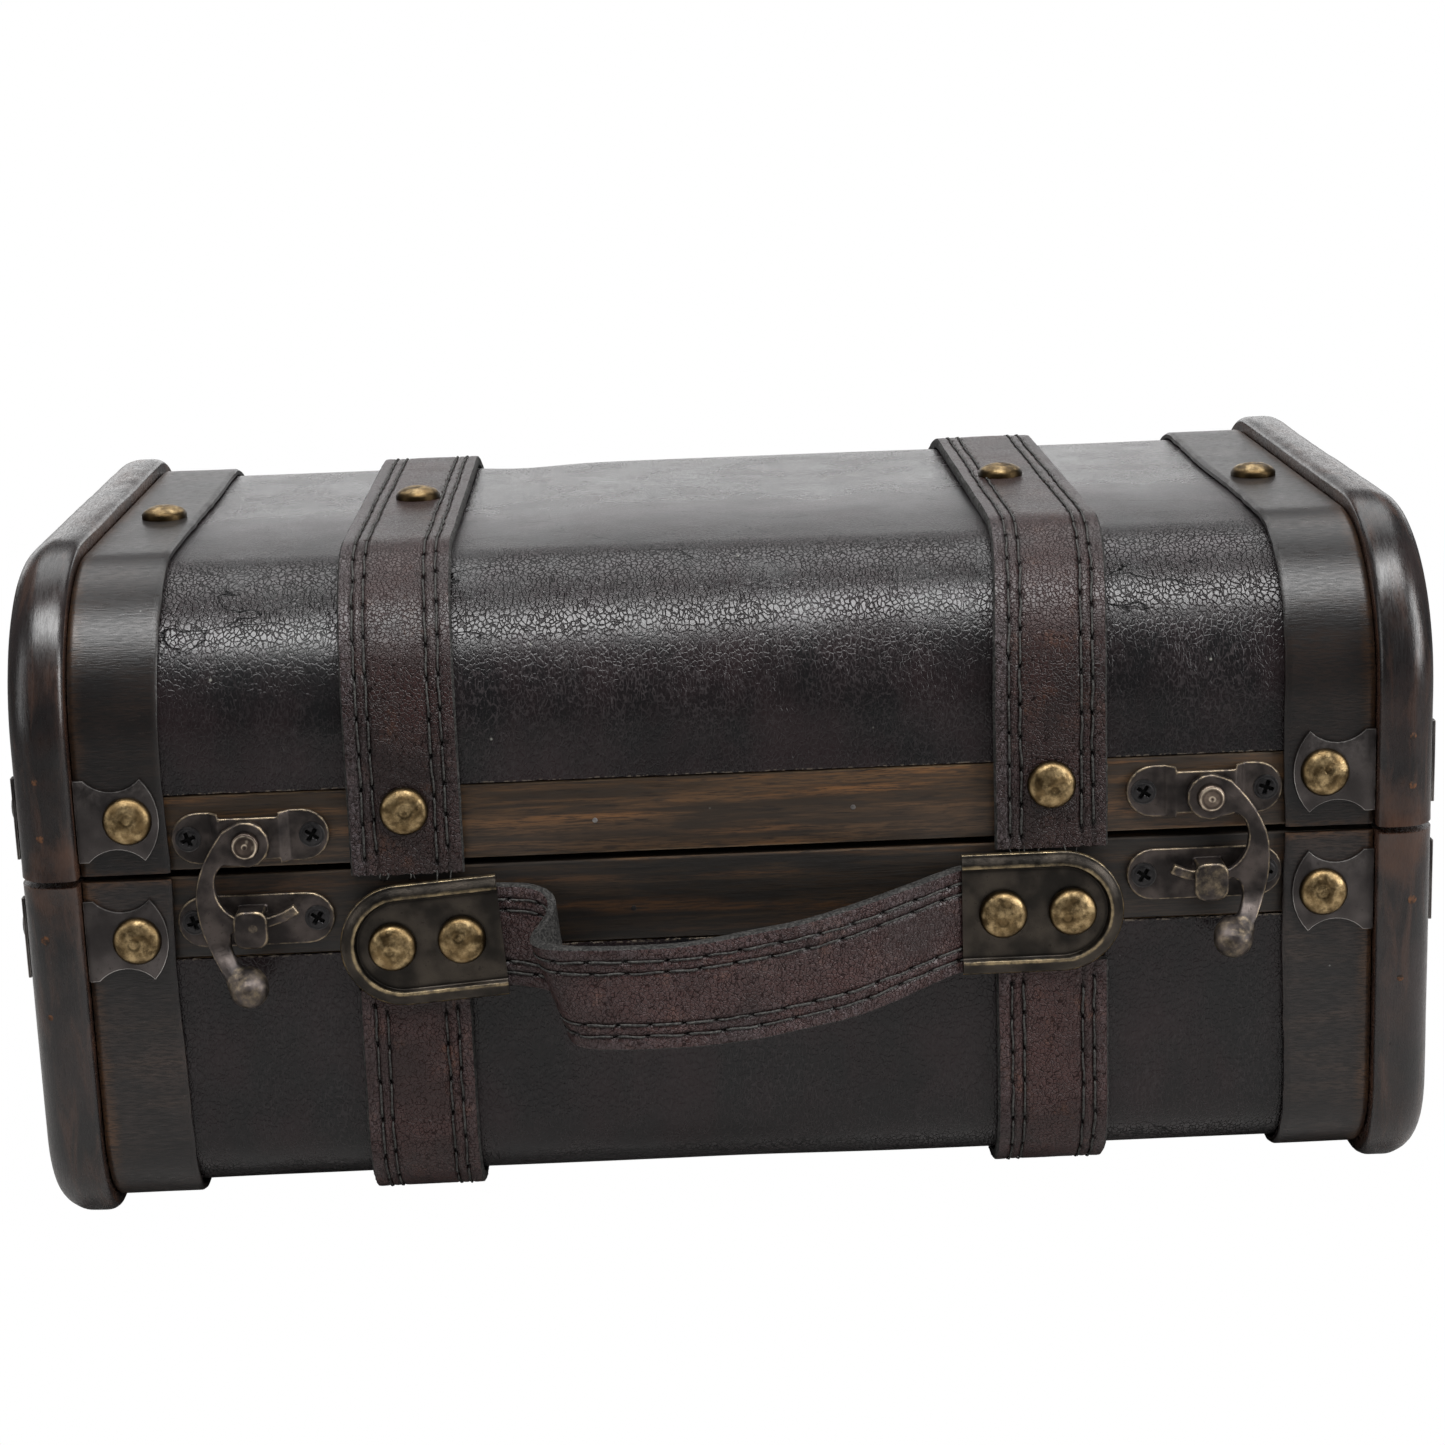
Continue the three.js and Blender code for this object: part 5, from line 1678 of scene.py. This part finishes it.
# Lumps from the arm to the knob of a hook: aside from the pivot, below it, radius and half depth
HOOK_SWELLS = [
    (9.0, 26.0, 2.15, 1.4),
    (8.3, 27.7, 2.2, 1.6),
    (7.4, 29.2, 2.6, 2.1),
    (6.3, 30.6, 3.4, 2.9),
    (5.0, 31.8, 4.5, 3.8),
]


def make_hook(side):
    """A hook whose lower arm swells into a rounded knob."""
    name = f"latch_hook_{side}"
    sign = SIDES[side]
    low, high = box_mm(name)
    pivot = middle_mm(f"latch_pivot_{side}")
    lean = HOOK_LEAN[side]

    def shift(spot):
        down = (pivot.z - spot.z) * math.cos(lean) - sign * (spot.x - pivot.x) * math.sin(lean)
        return Vector((0, -HOOK_BEND * smooth(down, HOOK_BEND_FROM, HOOK_BEND_TO), 0))

    def hanging(aside, down, y):
        """A place beside and below the pivot before the hook leans in."""
        across = aside * math.cos(lean) - down * math.sin(lean)
        below = down * math.cos(lean) + aside * math.sin(lean)
        return Vector((pivot.x + sign * across, y, pivot.z - below))

    middle_y = high.y - HOOK_THICKNESS / 2
    swells = []
    for aside, down, radius, depth in HOOK_SWELLS:
        swells.append((hanging(aside, down, middle_y), radius, depth))
    knob = hanging(KNOB_ASIDE, HOOK_BEND_TO, low.y + KNOB_RADIUS)
    tip = hanging(TIP_ASIDE, TIP_BELOW, high.y)
    bm = softened_copy(name, HOOK_ROUNDS, shift, swells)
    make_cast(name, bm, f"hook_{side}", [(knob, KNOB_WEAR), (tip, TIP_WEAR)])


LATCH_ROUNDS = 6
CATCH_ROUNDS = 4

# How far the brass shows round each catch's head
CATCH_WEAR = {"left": 1.5, "right": 7.0}


def make_latch(side):
    """A latch's plate, its catch with a head that is rubbed bright, and its hook."""
    plate = f"latch_plate_{side}"
    make_cast(plate, softened_copy(plate, LATCH_ROUNDS), "lid", [])
    catch = f"catch_plate_{side}"
    low, high = box_mm(catch)
    catch_head = Vector(((low.x + high.x) / 2, low.y, (low.z + high.z) / 2))
    bm = softened_copy(catch, CATCH_ROUNDS)
    make_cast(catch, bm, "base", [(catch_head, CATCH_WEAR[side])])
    make_hook(side)


def add_screw(bm, frame_at, radius, seed):
    """A cross-recess screw head with a raised rim."""
    chance = random.Random(seed)
    turn = chance.uniform(0, math.pi / 2)

    def cross_at(a, b):
        along = abs(a * math.cos(turn) + b * math.sin(turn))
        aside = abs(b * math.cos(turn) - a * math.sin(turn))
        slot_one = smooth(aside, 0.52, 0.3) * smooth(along, 0.62 * radius, 0.5 * radius)
        slot_two = smooth(along, 0.52, 0.3) * smooth(aside, 0.62 * radius, 0.5 * radius)
        return max(slot_one, slot_two)

    def height_at(a, b, share):
        dome = 0.55 * math.sqrt(max(0.0, 1 - 0.85 * share**2))
        ring = -0.12 * bump((share - 0.8) * radius, 0.16)
        return dome + ring - 0.75 * cross_at(a, b)

    def marks(a, b, share):
        return smooth(share, 0.85, 0.95) * 0.7, cross_at(a, b)

    head(bm, frame_at, radius, height_at, 48, 18, marks)


LATCH_SCREW_RADIUS = 2.9
LATCH_SCREW_SPACING = 27.8
LATCH_PLATE_THICKNESS = 1.0


def make_latch_screws(side):
    """Four cross-recess screws hold each latch: two in its plate and two in its catch."""
    for body, node_name in (("lid", f"latch_plate_{side}"), ("base", f"catch_plate_{side}")):
        low, high = box_mm(node_name)
        middle = (low + high) / 2
        bm = bmesh.new()
        for number, way in enumerate((-1, 1)):
            x = middle.x + way * LATCH_SCREW_SPACING / 2
            frame_at = front_frame(x, middle.z, high.y - LATCH_PLATE_THICKNESS)
            add_screw(bm, frame_at, LATCH_SCREW_RADIUS, SIDE_SEED[side] + number)
        close(bm)
        make_piece(f"{node_name}_screws", bm, body, ["screw"], crease=50)


HINGE_LEAF_THICKNESS = 1.2
HINGE_SCREW_RADIUS = 2.3
HINGE_SCREW_RISE = 8.7
HINGE_SCREW_ASIDE = 10.0


def make_hinge_screws(side):
    """Two screws in each hinge leaf, their rims a little below its face."""
    for half, up in UP.items():
        node_name = f"hinge_{half}_leaf_{side}"
        low, high = box_mm(node_name)
        bm = bmesh.new()
        for number, way in enumerate((-1, 1)):
            x = (low.x + high.x) / 2 + way * HINGE_SCREW_ASIDE
            z = SEAM_HEIGHT + up * HINGE_SCREW_RISE
            frame_at = rear_frame(x, z, low.y + HINGE_LEAF_THICKNESS - 0.1)
            add_screw(bm, frame_at, HINGE_SCREW_RADIUS, 9 * up + number)
        close(bm)
        make_piece(f"{node_name}_screws", bm, half, ["bronze"], crease=50)


# Small marks of making: brads in the rails, filled nail holes in the boards and loose thread ends
BRAD_RADIUS = 0.6
BRAD_HEIGHT = 0.16
BRAD_SPOTS = {"lid": ((-30.2, 94.8), (28.2, 95.4)), "base": ((-22.3, 73.7),)}
BRAD_FINISH = {"lid": "tin_edge", "base": "screw"}


def plain_dome(height):
    return lambda a, b, share: height * math.sqrt(max(0.0, 1 - 0.95 * share**2))


def make_brads():
    """Small nail heads in the front rails, bright in the lid's and black in the base's."""
    rail_front = box_mm("lid_front_rail")[0].y
    for half, spots in BRAD_SPOTS.items():
        bm = bmesh.new()
        for x, z in spots:
            head(bm, front_frame(x, z, rail_front), BRAD_RADIUS, plain_dome(BRAD_HEIGHT), 14, 4)
        close(bm)
        make_piece(f"{half}_rail_brads", bm, half, [BRAD_FINISH[half]], crease=60)


NAIL_SPOTS = {
    "left": ((154.0, 110.3), (154.0, 97.1), (155.0, 73.4), (155.6, 54.9)),
    "right": ((154.0, 108.1), (154.1, 96.7), (154.7, 69.6), (152.0, 51.2)),
}
NAIL_HEIGHT = 0.12


def make_nail_marks(side):
    """Rusty filled nail holes on the rounded front of the boards."""
    sign = SIDES[side]
    for half, up in UP.items():
        bm = bmesh.new()
        for number, (x, z) in enumerate(NAIL_SPOTS[side]):
            if (z - SEAM_HEIGHT) * up < 0:
                continue
            past = max(0.0, x - BOARD_FACE - BOARD_THICKNESS + BOARD_OUTER_EASE)
            turn = math.asin(past / BOARD_OUTER_EASE)
            depth = BOARD_OUTER_EASE * (1 - math.cos(turn))
            dent = board_dent(x - BOARD_FACE, abs(z - SEAM[half]), BOARD_SEED[half] + sign)
            out = Vector((sign * math.sin(turn), -math.cos(turn), 0))
            upright = Vector((0, 0, 1))
            spot = Vector((sign * x, FRONT_Y + depth, z)) + out * (dent - 0.03)
            facing = Matrix((out.cross(upright), upright, out)).transposed().to_4x4()
            radius = 0.8 + 0.15 * (number % 3)
            head(bm, Matrix.Translation(spot) @ facing, radius, plain_dome(NAIL_HEIGHT), 12, 3)
        close(bm)
        make_piece(f"{half}_nail_marks_{side}", bm, half, ["rust"], crease=60)


LOOSE_THREADS = 6
LOOSE_STEPS = 10
LOOSE_SIDES = 4
LOOSE_TIP = 0.02


def make_loose_threads(side):
    """Stray thread ends that hang from the front end of a lid strap."""
    low, high = box_mm(f"lid_strap_{side}")
    chance = random.Random(SIDE_SEED[side])
    bm = bmesh.new()
    for _ in range(LOOSE_THREADS):
        x = chance.uniform(low.x + 2.0, high.x - 2.0)
        drop = chance.uniform(2.0, 5.0)
        aside = chance.uniform(-1.2, 1.2)
        out = chance.uniform(0.5, 1.4)
        curl = chance.uniform(-0.7, 0.7)
        thick = chance.choice((0.09, 0.13, 0.18))

        def place(i, j, x=x, drop=drop, aside=aside, out=out, curl=curl, thick=thick):
            share = j / LOOSE_STEPS
            turn = 2 * math.pi * (i % LOOSE_SIDES) / LOOSE_SIDES
            radius = thick if 0 < j < LOOSE_STEPS else LOOSE_TIP
            y = low.y + 0.4 - out * math.sin(math.pi / 2 * min(1.0, 1.6 * share))
            z = low.z + 1.0 - drop * share
            bend = aside * share**2 + curl * math.sin(math.pi * share)
            return Vector((x + bend + radius * math.cos(turn), y, z + radius * math.sin(turn)))

        patch(bm, LOOSE_SIDES, LOOSE_STEPS, place)
    make_piece(f"lid_strap_loose_threads_{side}", bm, "lid", ["thread"], crease=180)


def dress(node_name, key):
    """Keeps a CAD solid and gives it a better finish."""
    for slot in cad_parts[node_name].material_slots:
        slot.material = finish[key]


# The case put together
for half in ("lid", "base"):
    make_skin(half)
    dress(f"{half}_shell", "plywood")
    dress(f"{half}_lining", "lining")
    for side in SIDES:
        make_band(half, side)
        make_strap(half, side)
        make_board(half, side)
        refine(f"{half}_corner_plate_{side}", half, "tin", "tin_edge", 0.16)
        refine(f"{half}_end_plate_{side}", half, "tin", "tin_edge", 0.16)
        refine(f"hinge_{half}_leaf_{side}", half, "bronze", "bronze_edge", 0.15)
    for end in ("front", "rear"):
        refine(f"{half}_{end}_rail", half, f"{half}_rail", f"{half}_rail_edge", 0.45)

for side in SIDES:
    make_latch(side)
    make_latch_screws(side)
    make_hinge_screws(side)
    make_handle_plate(side)
    make_nail_marks(side)
    make_loose_threads(side)
make_brads()

for side in SIDES:
    make_tacks(side)
    make_pivot(side)
make_handle()


# Light: soft boxes above the front, above and low behind the case and at both sides, in metres and watts
AIM_HEIGHT = 0.1


def softbox(name, place, width, height, power, aim_height=AIM_HEIGHT):
    """A soft box that is aimed at the middle of the case."""
    data = bpy.data.lights.new(name, "AREA")
    data.shape = "RECTANGLE"
    data.size = width
    data.size_y = height
    data.energy = power
    lamp = bpy.data.objects.new(name, data)
    lamp.visible_camera = False
    bpy.context.scene.collection.objects.link(lamp)
    way = Vector((0.0, 0.0, aim_height)) - Vector(place)
    turn = way.to_track_quat("-Z", "Y").to_matrix().to_4x4()
    lamp.matrix_world = Matrix.Translation(place) @ turn


softbox("top_light", (0.0, -0.47, 1.27), width=1.3, height=0.46, power=24.0)
softbox("sky_light", (0.0, 0.75, 1.4), width=1.8, height=0.9, power=13.5)
softbox("back_light", (0.0, 1.7, 0.36), width=2.6, height=0.44, power=5.5, aim_height=0.13)
softbox("left_light", (-1.3, -0.5, 0.5), width=0.5, height=0.9, power=3.5)
softbox("right_light", (1.2, -0.6, 0.6), width=0.5, height=0.9, power=15.0)


WHITE = (1, 1, 1, 1)


def show_camera(tree, seen, other, outlet):
    """The camera sees one shader, and everything else meets the other."""
    ray = node(tree, "ShaderNodeLightPath").outputs["Is Camera Ray"]
    both = node(tree, "ShaderNodeMixShader", {0: ray, 1: other.outputs[0], 2: seen.outputs[0]})
    tree.links.new(both.outputs[0], outlet)


def make_room():
    """White behind the case as the camera sees it, and a dim grey room for everything else."""
    world = bpy.data.worlds.new("studio")
    bpy.context.scene.world = world
    world.use_nodes = True
    tree = world.node_tree
    room = tree.nodes["Background"]
    room.inputs["Color"].default_value = (0.55, 0.55, 0.56, 1)
    room.inputs["Strength"].default_value = 0.22
    white = node(tree, "ShaderNodeBackground", {"Color": WHITE, "Strength": 1.0})
    show_camera(tree, white, room, tree.nodes["World Output"].inputs["Surface"])


FLOOR_HALF = 6.0


def make_floor():
    """A floor that the camera sees as plain white and that throws light up at the case from close by."""
    material, tree, shader, where = new_material("pale_floor", Roughness=0.9)
    away = node(tree, "ShaderNodeVectorMath", {0: where}, operation="LENGTH").outputs["Value"]
    near = spread(tree, away, 0.25, 0.6, 1.0, 0.0)
    colour = blend_colour(tree, near, (0.12, 0.12, 0.12), (0.46, 0.45, 0.44))
    tree.links.new(colour, shader.inputs["Base Color"])
    glow = node(tree, "ShaderNodeEmission", {"Color": WHITE, "Strength": 1.0})
    show_camera(tree, glow, shader, tree.nodes["Material Output"].inputs["Surface"])
    bm = bmesh.new()
    bmesh.ops.create_grid(bm, x_segments=1, y_segments=1, size=FLOOR_HALF)
    mesh = bpy.data.meshes.new("floor")
    bm.to_mesh(mesh)
    bm.free()
    mesh.materials.append(material)
    floor = bpy.data.objects.new("floor", mesh)
    bpy.context.scene.collection.objects.link(floor)


make_room()
make_floor()
bpy.context.scene.view_settings.view_transform = "Standard"
